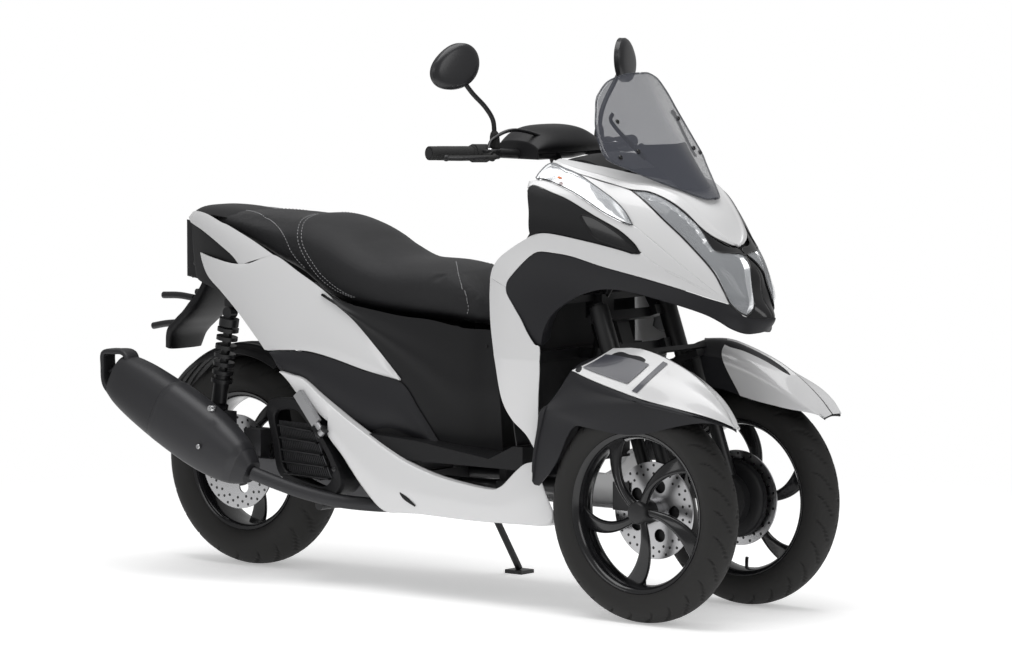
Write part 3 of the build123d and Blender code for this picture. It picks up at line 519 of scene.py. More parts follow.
# Front bodywork, sighted on the envelope
front = {
    "wall": 0.003, "edge": 0.0012,
    "bonnetEdge": [(552.6, 162.6), (565, 168), (578, 173.2), (602, 180.5), (620, 186), (633, 189.4),
        (649.4, 191.4), (669.8, 200.4), (686.5, 212.6), (701, 227), (715, 237), (731, 244.4), (738, 246)],
    "bonnetInner": [(402, -128, 1030), (450, -124, 1026), (520, -115, 1016), (590, -98, 1000),
        (636, -62, 984), (662, -14, 972), (690, -1.2, 966), (740, -1.2, 930), (775, -1.2, 900),
        (800, -1.2, 862), (815, -1.2, 842)],
    "seam": [(580, 174.6), (602, 181.8), (633, 191.8), (649.4, 206.4), (663.7, 220.6), (684.1, 240),
        (700.4, 257.3), (714.7, 274.8), (722.9, 290.2), (729.4, 302.8)],
    "blinkTop": [(536.5, 178.5), (541.2, 171.8), (552.4, 163.9), (565, 168.8), (578, 174.4), (594.3, 185.6),
        (614.7, 200.9), (624.9, 212.1), (632, 224.5)],
    "blinkLow": [(537, 179.5), (547.3, 180.4), (571.8, 191.6), (587, 201.2), (602.4, 211.8), (615, 218.6),
        (626.9, 224), (632, 225)],
    "outerWhite": [(490.2, 277), (492.5, 268), (498.4, 258.6), (510.6, 248.6), (523.9, 240), (532, 235.4),
        (541, 233.4), (551.4, 234), (571.8, 238.2), (602.4, 245.6), (633, 254.8), (660, 268.4), (684, 280.2),
        (706, 291.8), (729, 303.4)],
    "darkTop": [(505.8, 287), (507, 281.5), (510.9, 275.8), (520.8, 264.6), (531, 255.2), (539.2, 251.6),
        (551.4, 252.6), (571.8, 256.4), (602.4, 266.6), (643.3, 278), (684.1, 290.2), (706.5, 297.4),
        (729.6, 304.4)],
    "intakeTop": [(527.6, 191), (530, 187.4), (535.1, 186), (551, 193), (567.8, 200.4), (594.3, 216.7),
        (618.8, 231), (633.1, 244.3), (640, 253.4)],
    "intakeLow": [(527.9, 193), (529, 211.6), (530.4, 234.5), (540, 232.6), (551.4, 233.1), (571.8, 237),
        (602.4, 244.3), (633, 253.7), (640, 253.8)],
    "ventTop": [(581, 215.5), (594.3, 219), (617.5, 234), (629, 245), (635.5, 251.6)],
    "ventLow": [(581.6, 217), (588, 228), (596.5, 239), (616, 246.4), (635.3, 252.2)],
    "eyeInner": [(632.8, 190.8), (649.4, 192.4), (669.8, 201.8), (686.1, 214.2), (700.4, 228.4),
        (710.6, 244.6), (718, 251.8), (731, 253.2), (743, 254.8), (749, 263), (751.6, 275), (753.5, 293.3),
        (754.3, 308), (747.5, 315.6)],
    "eyeOuter": [(633, 191.4), (649.4, 205.5), (663.7, 219.8), (684.1, 239.2), (700.4, 256.5), (714.7, 273.9),
        (722.9, 289.2), (730, 303.3), (738.2, 311.4), (747, 316)],
    "browLow": [(649.4, 192.2), (669.8, 201.2), (686.3, 213.6), (700.8, 227.8), (714, 238.6), (724, 245),
        (731, 247.4), (738, 248), (833, -1.2, 824)],
    "darkBrow": [(649.4, 192.4), (669.8, 201.8), (686.1, 214.2), (700.4, 228.4), (710.6, 244.6), (718, 251.8),
        (731, 253.2), (743, 254.8), (834, -1.2, 822)],
    "veeSide": [(743, 254.8), (749, 263), (751.6, 275), (753.5, 293.3), (754.3, 308), (748, 316.5),
        (744, 321)],
    "veeMiddle": [(833, -1.2, 824), (852, -1.2, 802), (870, -1.2, 779), (887, -1.2, 741), (897, -1.2, 708),
        (902, -1.2, 692), (900, -1.2, 672)],
    "chinTop": [(534.1, 344.3), (526.5, 332), (520.8, 319.8), (512, 304), (506.6, 293.3), (505.8, 287.2),
        (507.2, 282), (511, 276.4), (521, 265.2), (531.2, 255.9), (539.2, 252.3), (551.4, 253.3),
        (571.8, 257.1), (602.4, 267.3), (643.3, 278.7), (684.1, 290.9), (706.5, 298.1), (729.6, 305.2),
        (738, 312), (745.3, 317), (892, -30, 683), (903, -1.2, 689)],
    "chinLow": [(541.2, 345.3), (542, 338), (543.3, 332), (547, 323), (551.4, 315.7), (558, 308.8),
        (565.7, 303.5), (574, 298.4), (582, 294.7), (598.4, 290), (614.7, 289.8), (635.1, 293.3),
        (663.7, 301.4), (684.1, 307.6), (704.5, 314.7), (718.8, 321.8), (731, 329), (745.3, 334.1),
        (882, -20, 650), (888, -1.2, 652)],
}
heart = tuple(cowlMiddle)

bonnet = cowlPanel(front["bonnetEdge"], front["bonnetInner"], (90, 30))
bonnet[..., 2] += 0.004 * np.exp(-((np.linspace(0, 1, 30)[None, :] - 0.16) / 0.10) ** 2)
bonnetPiece = surface("bonnet", halves(bonnet), "white", away=heart, thick=front["wall"],
                      bevel=front["edge"], weld=0.0003)

# The cheek in three strips; its upper edge is shared from the indicator's tip forward
cheek = {
    "edge": [(634, 226), (656, 244), (680, 264.4), (705, 284.6)],
    "browLow": [(580.2, 175.2), (594.3, 186.2), (614.7, 201.6), (624.9, 212.8)],
    "flareTop": [(529, 181), (547.3, 181.2), (571.8, 192.4), (602.4, 212.6), (626.9, 225)],
    "flareLow": [(527.4, 188), (534, 185), (551, 192), (567.8, 199.4), (594.3, 215.6), (618.8, 229.8),
                 (634, 243), (642, 253.6), (660, 267), (684, 279), (706, 291), (729, 303.2)],
    "ledgeTop": [(642, 253), (660, 267), (684, 279), (706, 291), (729, 303.2)],
    "ledgeLow": [(630, 254.4), (660, 268.8), (684, 280.6), (706, 292), (729, 303.4)],
    "tip": [(729, 303)],
}
brow = cowlPanel(front["seam"], cheek["browLow"] + cheek["edge"] + cheek["tip"], (80, 14))
flare = cowlPanel(cheek["flareTop"] + cheek["edge"] + cheek["tip"], cheek["flareLow"], (80, 14))
ledge = cowlPanel(cheek["ledgeTop"], cheek["ledgeLow"], (30, 4))
band = cowlPanel(front["outerWhite"], front["darkTop"], (110, 14))
surface("cheek", both(brow) + both(flare) + both(ledge), "white", away=heart, thick=front["wall"])
surface("archBand", both(band), "white", away=heart, thick=front["wall"], bevel=front["edge"])
intake = cowlPanel(front["intakeTop"], front["intakeLow"], (60, 16), 0.0015)
intakePiece = surface("intake", both(intake), "blackPlastic", away=heart, thick=0.004, bevel=0.001)
vent = cowlPanel(front["ventTop"], front["ventLow"], (40, 10), 0.0024)
surface("intakeVent", both(vent), "gloss", away=heart, thick=0.002, bevel=0.0006)
ventEdge = np.vstack([heading(front["ventTop"]), heading(front["ventLow"][::-1])])
ventFrame = smooth(onCowl(ventEdge, 0.003), 90, True)
frameSheet = sweep(np.vstack([ventFrame, ventFrame[:1]]), ringOf(0.0016, 8))
surface("ventRim", both(frameSheet), "blackPlastic", closeV=True)

chin = cowlPanel(front["chinTop"], front["chinLow"], (130, 22))
chinPiece = surface("chin", halves(chin), "greyPlastic", away=heart, thick=0.003, bevel=0.0015, weld=0.0003)
lipRoll = np.linspace(0, 1, 8)
lipEdge = chin[:, -1]
lipIn = lipEdge * np.array([1.0, 0.0, 1.0]) + np.array([-0.006, 0.0, 0.016]) + np.stack(
    [0 * lipEdge[:, 1], np.minimum(lipEdge[:, 1] + 0.042, -0.0012), 0 * lipEdge[:, 1]], -1)
lip = lipEdge[:, None] * (1 - lipRoll[None, :, None]) + lipIn[:, None] * lipRoll[None, :, None]
lip[..., 2] -= 0.004 * np.sin(np.pi * lipRoll)[None, :]
surface("chinLip", halves(lip), "greyPlastic", away=(0.60, 0, 1.3), thick=0.002)

# Dark liner behind the panel gaps
lineUp = [(556, 167.5), (578, 176), (602, 183), (633, 193), (669, 203), (701, 229), (738, 248),
    (833, -1.2, 824)]
lineLow = [(533, 231), (551, 236), (571, 240), (602, 247), (633, 256), (684, 282), (729, 303.5), (748, 315.5),
           (899, -1.2, 690)]
liner = cowlPanel(lineUp, lineLow, (50, 24), -0.012)
surface("cowlLiner", halves(liner), "blackPlastic", away=heart, weld=0.0003)
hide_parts("front_cowl")
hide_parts("side_panels")
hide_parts("chin_cowl")

# Lamps: clear lenses over silver bowls with dark rims
lensSheet = cowlPanel(front["eyeInner"], front["eyeOuter"], (80, 20), 0.0005)
lensPiece = surface("headlampLens", both(lensSheet), "clear", away=heart, thick=0.002)
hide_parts("front_lamps")
depth = np.sin(np.pi * np.linspace(0, 1, 20)) ** 0.6
stepsAlong = np.linspace(0, 1, 80)
rib = 0.0016 * np.sign(np.sin(stepsAlong * 2 * np.pi * 16)) * (stepsAlong < 0.62)
sunk = -0.003 - 0.018 * depth[None, :] + rib[:, None]
bowl = cowlPanel(front["eyeInner"], front["eyeOuter"], (80, 20), sunk)
surface("headlampBowl", both(bowl), "silver", away=heart)
blinkLens = cowlPanel(front["blinkTop"], front["blinkLow"], (60, 14), 0.004)
surface("blinkerLens", both(blinkLens), "clear", away=heart, thick=0.0015)
wave = 0.0005 * np.sin(np.linspace(0, 1, 60) * 2 * np.pi * 9)
dish = 0.0045 * np.sin(np.linspace(0, np.pi, 14))
blinkBowl = cowlPanel(front["blinkTop"], front["blinkLow"], (60, 14), -0.004 - dish[None, :] + wave[:, None])
surface("blinkerBowl", both(blinkBowl), "silver", away=heart)


# A thin rim along two edges of a lamp
def rim(name, edgeA, edgeB, radius, lift, look):
    ring = np.vstack([heading(edgeA), heading(edgeB[::-1])])
    line = onCowl(smooth(ring, 160), lift)
    return surface(name, both(sweep(line, ringOf(radius, 8))), look, closeV=True)


rim("headlampRim", front["eyeInner"], front["eyeOuter"], 0.0022, -0.0005, "gloss")
rim("blinkerRim", front["blinkTop"], front["blinkLow"], 0.0014, 0.0022, "blackPlastic")
vee = cowlPanel(front["veeSide"], front["veeMiddle"], (50, 10), -0.0025)
browDark = cowlPanel(front["browLow"], front["darkBrow"], (70, 8), -0.001)
surface("nose", halves(vee) + halves(browDark), "gloss", away=heart, thick=0.003)
bulbs = onCowl(heading([(560, 178.5), (589, 193)]), 0.001)
buttons("blinkerBulb", np.vstack([bulbs[:1], mirrored(bulbs[:1])]), (0.35, 0, 0.9), 0.006, 0.003, "amber")
print("front bodywork done")

# Windshield: one smoked sheet, sighted outline, with a frame edge, stays and screws
screen = {
    "height": 0.260, "lowZ": 0.950, "lowX": 0.7421, "back": 0.201, "bow": 0.0659, "curve": 0.647,
    "loss": 0.168, "wall": 0.0035,
    "edge": [(0.746, -0.004, 0.946), (0.738, -0.029, 0.948), (0.699, -0.067, 0.968), (0.656, -0.107, 0.990),
        (0.612, -0.146, 1.015), (0.584, -0.172, 1.032), (0.569, -0.178, 1.047), (0.548, -0.172, 1.082),
        (0.534, -0.162, 1.112), (0.522, -0.149, 1.139), (0.515, -0.135, 1.168), (0.513, -0.121, 1.184),
        (0.513, -0.098, 1.204), (0.518, -0.075, 1.214), (0.527, -0.038, 1.223), (0.534, -0.003, 1.2245)],
}


# The screen's x: a bowed lean upwards, less a rounded fall to the sides
def screenX(y, z, lift=0.0):
    t = (z - screen["lowZ"]) / screen["height"]
    middle = screen["lowX"] - screen["back"] * t - screen["bow"] * t * (1 - t)
    return middle - (screen["curve"] - screen["loss"] * t) * (np.sqrt(y ** 2 + 0.04 ** 2) - 0.04) + lift


# Rows across the screen between its edge and the edge's mirror image
def screenSheet(outline, count=(60, 28), lift=0.0):
    run = smooth(outline, count[0])
    t = np.linspace(-1, 1, count[1])[None, :, None]
    sheet = np.repeat(run[:, None, :], count[1], 1)
    sheet[..., 1] = np.abs(run[:, None, 1]) * t[..., 0]
    sheet[..., 0] = screenX(sheet[..., 1], sheet[..., 2], lift)
    return sheet


screenPiece = surface("screen", [screenSheet(screen["edge"], (70, 36))], "smoke", away=(0.3, 0, 1.05),
                      thick=screen["wall"])
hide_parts("windshield")
edge = smooth(screen["edge"], 90)
edge[:, 0] = screenX(edge[:, 1], edge[:, 2], -0.0018)
surface("screenEdge", both(sweep(edge, ringOf(0.0021, 8))), "edgeSmoke", closeV=True)
wedge = np.linspace(0, 1, 30)
wedgeLine = np.stack([0.70 - 0.125 * wedge, -0.052 - 0.050 * wedge, 0.966 + 0.100 * wedge], -1)
wedgeLine[0] *= (1, 0.45, 1)
bracket = screenSheet(wedgeLine, (30, 24), -0.012)
surface("screenBracket", [bracket], "blackPlastic", away=(0.3, 0, 1.0), thick=0.004)
stay = smooth([(0, -0.110, 1.135), (0, -0.121, 1.118), (0, -0.108, 1.075), (0, -0.092, 1.035)], 30)
stay[:, 0] = screenX(stay[:, 1], stay[:, 2], -0.006)
surface("screenStays", both(sweep(stay, ringOf(0.006, 10, 0.5), up=(1, 0, 0))), "blackPlastic", closeV=True,
        caps=True)
spots = np.array([(0, -0.113, 1.118), (0, -0.103, 1.052), (0, -0.148, 1.040)])
spots[:, 0] = screenX(spots[:, 1], spots[:, 2], 0.0003)
buttons("screenScrews", np.vstack([spots, mirrored(spots)]), (0.8, 0, 0.5), 0.0055, 0.0035, "gloss")
print("screen done")

# Flanks, sighted on the side's plan
flank = {
    "plan": [(-0.86, 0.084), (-0.80, 0.095), (-0.70, 0.134), (-0.60, 0.160), (-0.45, 0.180), (-0.25, 0.184),
        (-0.10, 0.172), (0.02, 0.152), (0.12, 0.130), (0.176, 0.106), (0.24, 0.09)],
    "armTop": [(189.8, 216.5), (194.4, 211), (205.9, 213.4), (220.8, 222), (228.9, 225.8), (251.8, 240),
        (272.5, 254.6)],
    "armLow": [(189.8, 217), (190.5, 221.8), (201.3, 229.4), (212, 238), (222, 246.6), (232.3, 255.8),
        (239.2, 265.2)],
    "bladeTop": [(239.2, 265.2), (255, 261.5), (272.5, 254.6), (297.8, 271.8), (325.3, 292.5), (352.9, 320),
        (378.1, 349.9), (401, 379)],
    "bladeLow": [(200.2, 252.4), (202.5, 262.7), (208.2, 276.4), (222, 292.5), (240.4, 315.5), (261, 344.2),
        (266, 350), (284, 349.9), (306.9, 351), (332.2, 357.9), (366.6, 370.6), (400.5, 380.5)],
    "gapTop": [(190.6, 222.4), (201.3, 230), (212, 238.6), (222, 247.2), (232.3, 256.4), (238.4, 265.4)],
    "gapLow": [(190.8, 224), (192, 248.9), (194.4, 271.8), (196.7, 279), (208, 286), (222, 292)],
    "coverTop": [(271, 351.5), (284, 351.3), (306.9, 352.3), (332.2, 359.2), (366.6, 371.8), (400.5, 382),
        (420, 410.5), (446, 452)],
    "coverLow": [(271.5, 352.6), (280.5, 370), (302.6, 378.5), (321.5, 396.5), (342.6, 415.5), (361.5, 430),
        (391, 428), (420, 441), (445.5, 453)],
    "centreTop": [(322, 293), (340, 302), (360, 307), (400, 316), (430, 320), (462, 328), (492, 331),
        (500, 342)],
    "centreLow": [(325, 296), (352.9, 321.6), (378.1, 351.4), (401.5, 381), (421, 410.8), (446, 452),
        (463, 462), (502, 453)],
}
plan = flank["plan"]
whiteSide = sidePanel(flank["bladeTop"], flank["bladeLow"], plan, (90, 24), 0.007)
arm = sidePanel(flank["armTop"], flank["armLow"], plan, (50, 10), 0.004)
sidePiece = surface("sideCovers", both(whiteSide) + both(arm), "white", away=(-0.35, -0.001, 0.6),
                    thick=0.003, bevel=0.0012)
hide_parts("side_covers")
lowCover = sidePanel(flank["coverTop"], flank["coverLow"], plan, (80, 20), 0.009, 0.001)
surface("lowCovers", both(lowCover), "greyPlastic", away=(-0.2, -0.001, 0.5), thick=0.003, bevel=0.0012)
centre = sidePanel(flank["centreTop"], flank["centreLow"], plan, (80, 26), 0.004, -0.002)
across = np.linspace(0, 1, 26)[None, :]
crease = 0.006 * np.exp(-((across - 0.42) / 0.16) ** 2)
centre[..., 1] -= crease
surface("centreCovers", both(centre), "blackPlastic", away=(-0.2, -0.001, 0.5), thick=0.003, bevel=0.001)
tailDark = sidePanel(flank["gapTop"], flank["gapLow"], plan, (40, 12), 0.0, -0.004)
surface("tailSides", both(tailDark), "blackPlastic", away=(-0.7, -0.001, 0.7), thick=0.002)

# Lower fairings
low = {
    "plan": [(-0.42, 0.188), (-0.372, 0.196), (-0.20, 0.208), (0.0, 0.216), (0.25, 0.216), (0.404, 0.204),
        (0.46, 0.196)],
    "upper": [(280.5, 371), (290, 374.6), (302.6, 379.6), (321.5, 397.5), (342.6, 416.5), (361.5, 431.4),
        (384.6, 449.1), (405.7, 462.8), (430, 474.2), (455, 482.2), (488, 489.5), (500, 487), (509, 478.5),
        (516, 471), (525, 464), (536.5, 461.5)],
    "lower": [(281, 372.4), (287.8, 381), (300, 397), (320, 415), (329.9, 424.7), (327.8, 435.2),
        (342.6, 456.3), (361.5, 485.7), (382.5, 509.9), (402, 513), (420, 514.1), (450, 518), (480, 521.5),
        (520, 524.5), (545, 526), (552, 521), (553.5, 512)],
    "front": [(536.5, 461.5), (540, 475), (545, 492), (553.5, 512)],
}
fairing = sidePanel(low["upper"], low["lower"], low["plan"], (110, 24), 0.006)
under = np.linspace(0, 1, 6)[None, :, None]
bottomEdge = fairing[:, -1]
turnIn = bottomEdge + np.array([0.0, 0.035, -0.002])
curlIn = bottomEdge[:, None] * (1 - under) + turnIn[:, None] * under
turnTop = fairing[:, 0] + np.array([0.0, 0.022, 0.001])
curlTop = turnTop[:, None] * (1 - under) + fairing[:, 0][:, None] * under
whole = np.concatenate([curlTop[:, :-1], fairing, curlIn[:, 1:]], 1)
lowPiece = surface("lowerFairings", both(whole), "white", away=(0, -0.001, 0.36), thick=0.0025)
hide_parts("lower_fairings")
slot = sidePanel([(401.5, 492), (409, 497), (417, 505)], [(401.8, 494), (406, 499.5), (416.5, 506.5)],
    low["plan"], (16, 5), 0.0, 0.0068)
surface("fairingSlots", both(slot), "blackPlastic", away=(0, -0.001, 0.36), thick=0.001)

# The wing below the cowl that shields the knees
wing = {
    "plan": [(0.24, 0.232), (0.28, 0.237), (0.34, 0.246), (0.42, 0.242), (0.50, 0.232)],
    "rear": [(490.2, 276.9), (489.6, 290), (489.5, 300), (490.5, 325), (494.3, 360), (498, 398), (506, 420),
        (519, 437), (530, 463)],
    "front": [(505.8, 287), (506.6, 294), (513, 306), (520.8, 320), (527, 333), (534.1, 344.3), (539.3, 348),
        (538.2, 370), (534, 400), (531, 438), (537.5, 463)],
}
wingSheet = sidePanel(wing["rear"], wing["front"], wing["plan"], (90, 14), 0.003)
drop = np.clip((wingSheet[..., 2] - 0.36) / 0.22, 0, 1)
wingSheet[..., 1] = wingSheet[..., 1] * drop + (1 - drop) * -(sideWidth(low["plan"],
    wingSheet[..., 0]) + 0.004)
surface("kneeWings", both(wingSheet), "white", away=(0.4, -0.001, 0.6), thick=0.003, bevel=0.0012)
print("flanks done")

# A sheet through several edge curves, smooth across them
def loft(curves, count, along=None):
    rows = np.stack([smooth(c, along) if along else np.array(c, float) for c in curves])
    n = len(rows)
    padded = np.concatenate([2 * rows[:1] - rows[1:2], rows, 2 * rows[-1:] - rows[-2:-1]])
    place = np.linspace(0, n - 1, count)
    i = np.clip(place.astype(int), 0, n - 2)
    u = (place - i)[:, None, None]
    return cubic(padded[i], padded[i + 1], padded[i + 2], padded[i + 3], u).transpose(1, 0, 2)


# Fenders: a dark guard lofted from the inner edge over the crown to the skirt,
# and a white blade lying 3 mm over it
fender = {
    "plan": [(0.40, 0.232), (0.44, 0.236), (0.50, 0.243), (0.65, 0.2465), (0.78, 0.2455), (0.86, 0.240),
        (0.91, 0.226), (0.945, 0.204), (0.97, 0.19)],
    "crown": [(0.432, -0.190, 0.315), (0.440, -0.186, 0.400), (0.466, -0.180, 0.500), (0.512, -0.176, 0.568),
        (0.590, -0.170, 0.606), (0.66, -0.168, 0.610), (0.720, -0.168, 0.597), (0.80, -0.170, 0.567),
        (0.862, -0.174, 0.530), (0.912, -0.180, 0.488), (0.940, -0.186, 0.452)],
    "inner": [(0.440, -0.140, 0.320), (0.450, -0.130, 0.400), (0.478, -0.120, 0.490), (0.525, -0.114, 0.548),
        (0.592, -0.110, 0.574), (0.66, -0.110, 0.576), (0.720, -0.112, 0.566), (0.80, -0.118, 0.538),
        (0.862, -0.128, 0.504), (0.908, -0.146, 0.470), (0.934, -0.168, 0.446)],
    "shoulder": [(533.6, 478), (536.5, 450), (541.5, 424.5), (546, 409), (557.8, 391.5), (572.6, 371.8),
        (586.2, 378.6), (608.7, 388), (643.4, 401), (676, 410), (702.6, 417.2), (720, 423), (735.2, 429.6)],
    "crease": [(534, 484), (536, 462), (540, 436), (543.6, 414.6), (562, 409.4), (586, 406.6), (621, 404.6),
        (647, 405), (672, 409.5), (702.6, 418.6), (720, 424), (735.2, 430)],
    "skirt": [(538, 486), (549, 472), (557, 459), (566, 437), (574, 426.4), (586.2, 428), (614.8, 434),
        (635, 435), (651.5, 432.6), (678, 426.4), (702.6, 423.4), (722, 426.4), (735.2, 431.2)],
    "bladeShoulder": [(572.3, 371.2), (586.2, 378), (608.7, 387.4), (643.4, 400.4), (676, 409.2),
        (702.6, 416.2), (720, 422), (735.6, 429)],
    "bladeMiddle": [(592, 362), (612, 368), (640, 376), (672, 386), (702, 399), (722, 413), (735.4, 428.6)],
    "bladeCrown": [(0.590, -0.170, 0.609), (0.66, -0.168, 0.612), (0.720, -0.168, 0.599),
        (0.80, -0.170, 0.569), (0.862, -0.174, 0.532), (0.912, -0.180, 0.490), (0.941, -0.187, 0.4545)],
    "bladeFoot": [(0.742, -0.106, 0.490), (0.790, -0.109, 0.480), (0.825, -0.113, 0.474),
        (0.866, -0.124, 0.466), (0.908, -0.143, 0.459), (0.936, -0.166, 0.449)],
    "bladeInner": [(0.690, -0.107, 0.574), (0.745, -0.109, 0.560), (0.80, -0.114, 0.540),
        (0.862, -0.124, 0.506), (0.908, -0.143, 0.472), (0.936, -0.166, 0.448)],
}
shoulder = onSide(fender["shoulder"], fender["plan"])
crease = onSide(fender["crease"], fender["plan"])
skirt = onSide(fender["skirt"], fender["plan"])
skirt[:, 1] += 0.004
crease[:, 1] -= 0.001
guard = loft([fender["inner"], fender["crown"], shoulder, crease, skirt], 60, 110)
dropBy = np.clip((0.925 - guard[:, 0, 0]) / 0.155, 0, 1)[:, None, None]
innerDrop = guard[:, :1] + np.linspace(1, 0, 8)[None, :, None] * dropBy * np.array([0.0, 0.004, -0.070])
guardAll = np.concatenate([innerDrop[:, :-1], guard], 1)


# Pixels sighted at a depth each
def middleOf(pixels, depths):
    return np.array([onPlane([p], -d)[0] for p, d in zip(pixels, depths)])


bladeMid = middleOf(fender["bladeMiddle"], (0.212, 0.214, 0.214, 0.214, 0.212, 0.206, 0.200))
bladeOut = onSide(fender["bladeShoulder"], fender["plan"])
blade = loft([fender["bladeCrown"], bladeMid, bladeOut], 26, 90)
blade[..., 2] += 0.002
blade[..., 1] -= 0.0012
bladeIn = loft([smooth(fender["bladeFoot"], 60), smooth(fender["bladeInner"], 60),
                smooth(np.array(fender["bladeCrown"])[1:], 60)], 34)
bladeIn[..., 2] += 0.002
bladeIn[..., 1] += 0.003
for side, turn in sides.items():
    flip = np.array([1.0, -turn, 1.0])
    rider = side + "_fork"
    piece = surface("fenderGuard_" + side, [guardAll * flip], "greyPlastic", rider,
        away=(0.69, turn * 0.18, 0.25), thick=0.003, bevel=0.001)
    surface("fenderBlade_" + side, [blade * flip, bladeIn * flip], "fenderWhite", rider,
                    away=(0.69, turn * 0.18, 0.25), thick=0.003, bevel=0.001)
    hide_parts("fender_" + side)
    block = blade[2:30, 6:21] * flip + np.array([0.0, turn * 0.0008, 0.0024])
    slant = blade[34:38, 2:24] * flip + np.array([0.0, turn * 0.0008, 0.0020])
    surface("fenderBlock_" + side, [block, slant], "bandGrey", rider, away=(0.69, turn * 0.18, 0.25))
print("fenders done")


# Tyres: an ellipse arc turned about the axle, with curved grooves let in; a groove's angle
# goes round by the bend over the arc, every other one stops short of the shoulder
tread = {
    "span": 142, "rise": 0.56, "count": 600, "rows": 37, "turns": 26, "rearTurns": 22, "deep": 0.0046,
    "wide": 0.0034, "bend": 0.55, "bow": 1.6, "stagger": 0.25, "start": (0.10, 0.12), "end": (1.22, 0.18),
    "short": (0.85, 0.15), "ridges": ((0.0006, 1.62, 0.04), (0.0005, 2.05, 0.05)), "frontHalf": 0.0450,
    "frontSeat": 0.178, "rearHalf": 0.0650, "rearSeat": 0.166,
}


def tyre(name, node, centre, radius, halfWidth, seat, body, turns):
    a = np.linspace(-1, 1, tread["rows"]) * math.radians(tread["span"])
    tall = (radius - seat) * tread["rise"]
    r0 = radius - tall + tall * np.cos(a)
    y0 = halfWidth * np.sin(a)
    theta = np.linspace(0, 2 * np.pi, tread["count"], endpoint=False)[:, None]
    reach = np.abs(a)[None, :]
    side = np.sign(a)[None, :]
    bendy = tread["bend"] * reach + tread["bend"] * np.sin(reach * tread["bow"])
    phase = turns * theta / (2 * np.pi) + bendy + tread["stagger"] * side
    off = np.abs((phase + 0.5) % 1.0 - 0.5) * (2 * np.pi * radius / turns)
    (start, startFade), (end, endFade), (short, shortFade) = tread["start"], tread["end"], tread["short"]
    window = np.clip((reach - start) / startFade, 0, 1) * np.clip((end - reach) / endFade, 0, 1)
    long = np.where(np.floor(phase) % 2 == 0, 1.0, np.clip((short - reach) / shortFade, 0, 1))
    groove = tread["deep"] * np.exp(-(off / tread["wide"]) ** 4) * window * long
    r = r0[None, :] - groove * np.cos(a)[None, :]
    y = y0[None, :] - groove * np.sin(a)[None, :]
    y = y + side * sum(high * np.exp(-((reach - at) / wide) ** 2) for high, at, wide in tread["ridges"])
    grid = np.stack([centre[0] + r * np.sin(theta), centre[1] + y, centre[2] + r * np.cos(theta)], -1)
    piece = surface(name, [grid], "rubber", body, closeU=True, crease=60)
    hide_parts(node)


for side in sides:
    tyre("tread_" + side, "front_tyre_" + side, hubs[side], size["frontR"], tread["frontHalf"],
         tread["frontSeat"], side + "_wheel", tread["turns"])
tyre("tread_back", "rear_tyre", rearHub, size["rearR"], tread["rearHalf"], tread["rearSeat"], "back_wheel",
     tread["rearTurns"])


# Wheel trim: hub caps, valves, rear axle and carrier, and the discs' drilled holes in three rings
trim = {
    "cap": [(0.0255, 0.018), (0.0250, 0.0305), (0.0225, 0.0335), (0.012, 0.0348), (0.0001, 0.0350)],
    "valve": [(0, -0.176), (0, -0.150), (0.001, -0.141)], "valveR": 0.0042,
    "axle": [(0.0001, -0.078), (0.012, -0.078), (0.0135, -0.074), (0.0135, 0.074), (0.012, 0.078),
        (0.0001, 0.078)],
    "carrier": [(0.060, -0.0620), (0.030, -0.0690), (0.016, -0.0700), (0.0135, -0.0700)],
    "holeR": 0.0034, "holeUp": 0.0002, "discY": 0.1585, "discHalf": 0.00205, "rearDiscY": -0.06625,
    "rings": ((0.103, 18, 0.0), (0.093, 18, 0.17), (0.084, 18, 0.0)),
    "rearRings": ((0.108, 20, 0.0), (0.098, 20, 0.16), (0.088, 20, 0.0)),
}


def spots(centre, radius, y, count, start=0.0):
    a = np.linspace(0, 2 * np.pi, count, endpoint=False) + start
    return np.stack([centre[0] + radius * np.sin(a), np.full(count, y), centre[2] + radius * np.cos(a)], -1)


for side, turn in sides.items():
    hub, body = hubs[side], side + "_wheel"
    surface("hubCap_" + side, [turned([(r, turn * y) for r, y in trim["cap"]], hub, 40)], "satin", body,
        closeV=True, away=hub)
    stem = [(hub[0] + x, hub[1], hub[2] + z) for x, z in trim["valve"]]
    surface("valve_" + side, [tube(stem, trim["valveR"], 16, 10, up=(1, 0, 0))], "gloss", body, closeV=True,
        caps=True)
    for ring, count, shift in trim["rings"]:
        for face in (1, -1):
            deep = turn * trim["discY"] + face * trim["discHalf"]
            name = "discHoles_" + side + str(int(ring * 1000)) + ("out" if face * turn > 0 else "in")
            buttons(name, spots(hub, ring, deep, count, shift), (0, face, 0), trim["holeR"], trim["holeUp"],
                "gloss", body)
for ring, count, shift in trim["rearRings"]:
    buttons("rearDiscHoles_" + str(int(ring * 1000)), spots(rearHub, ring, trim["rearDiscY"], count, shift),
            (0, -1, 0), trim["holeR"], trim["holeUp"], "gloss", "back_wheel")
surface("rearAxle", [turned(trim["axle"], rearHub, 32)], "steel", "back_wheel", closeV=True, away=rearHub)
surface("rearCarrier", [turned(trim["carrier"], rearHub, 60)], "satin", "back_wheel", closeV=True,
    away=rearHub, thick=0.003)
print("wheels done")

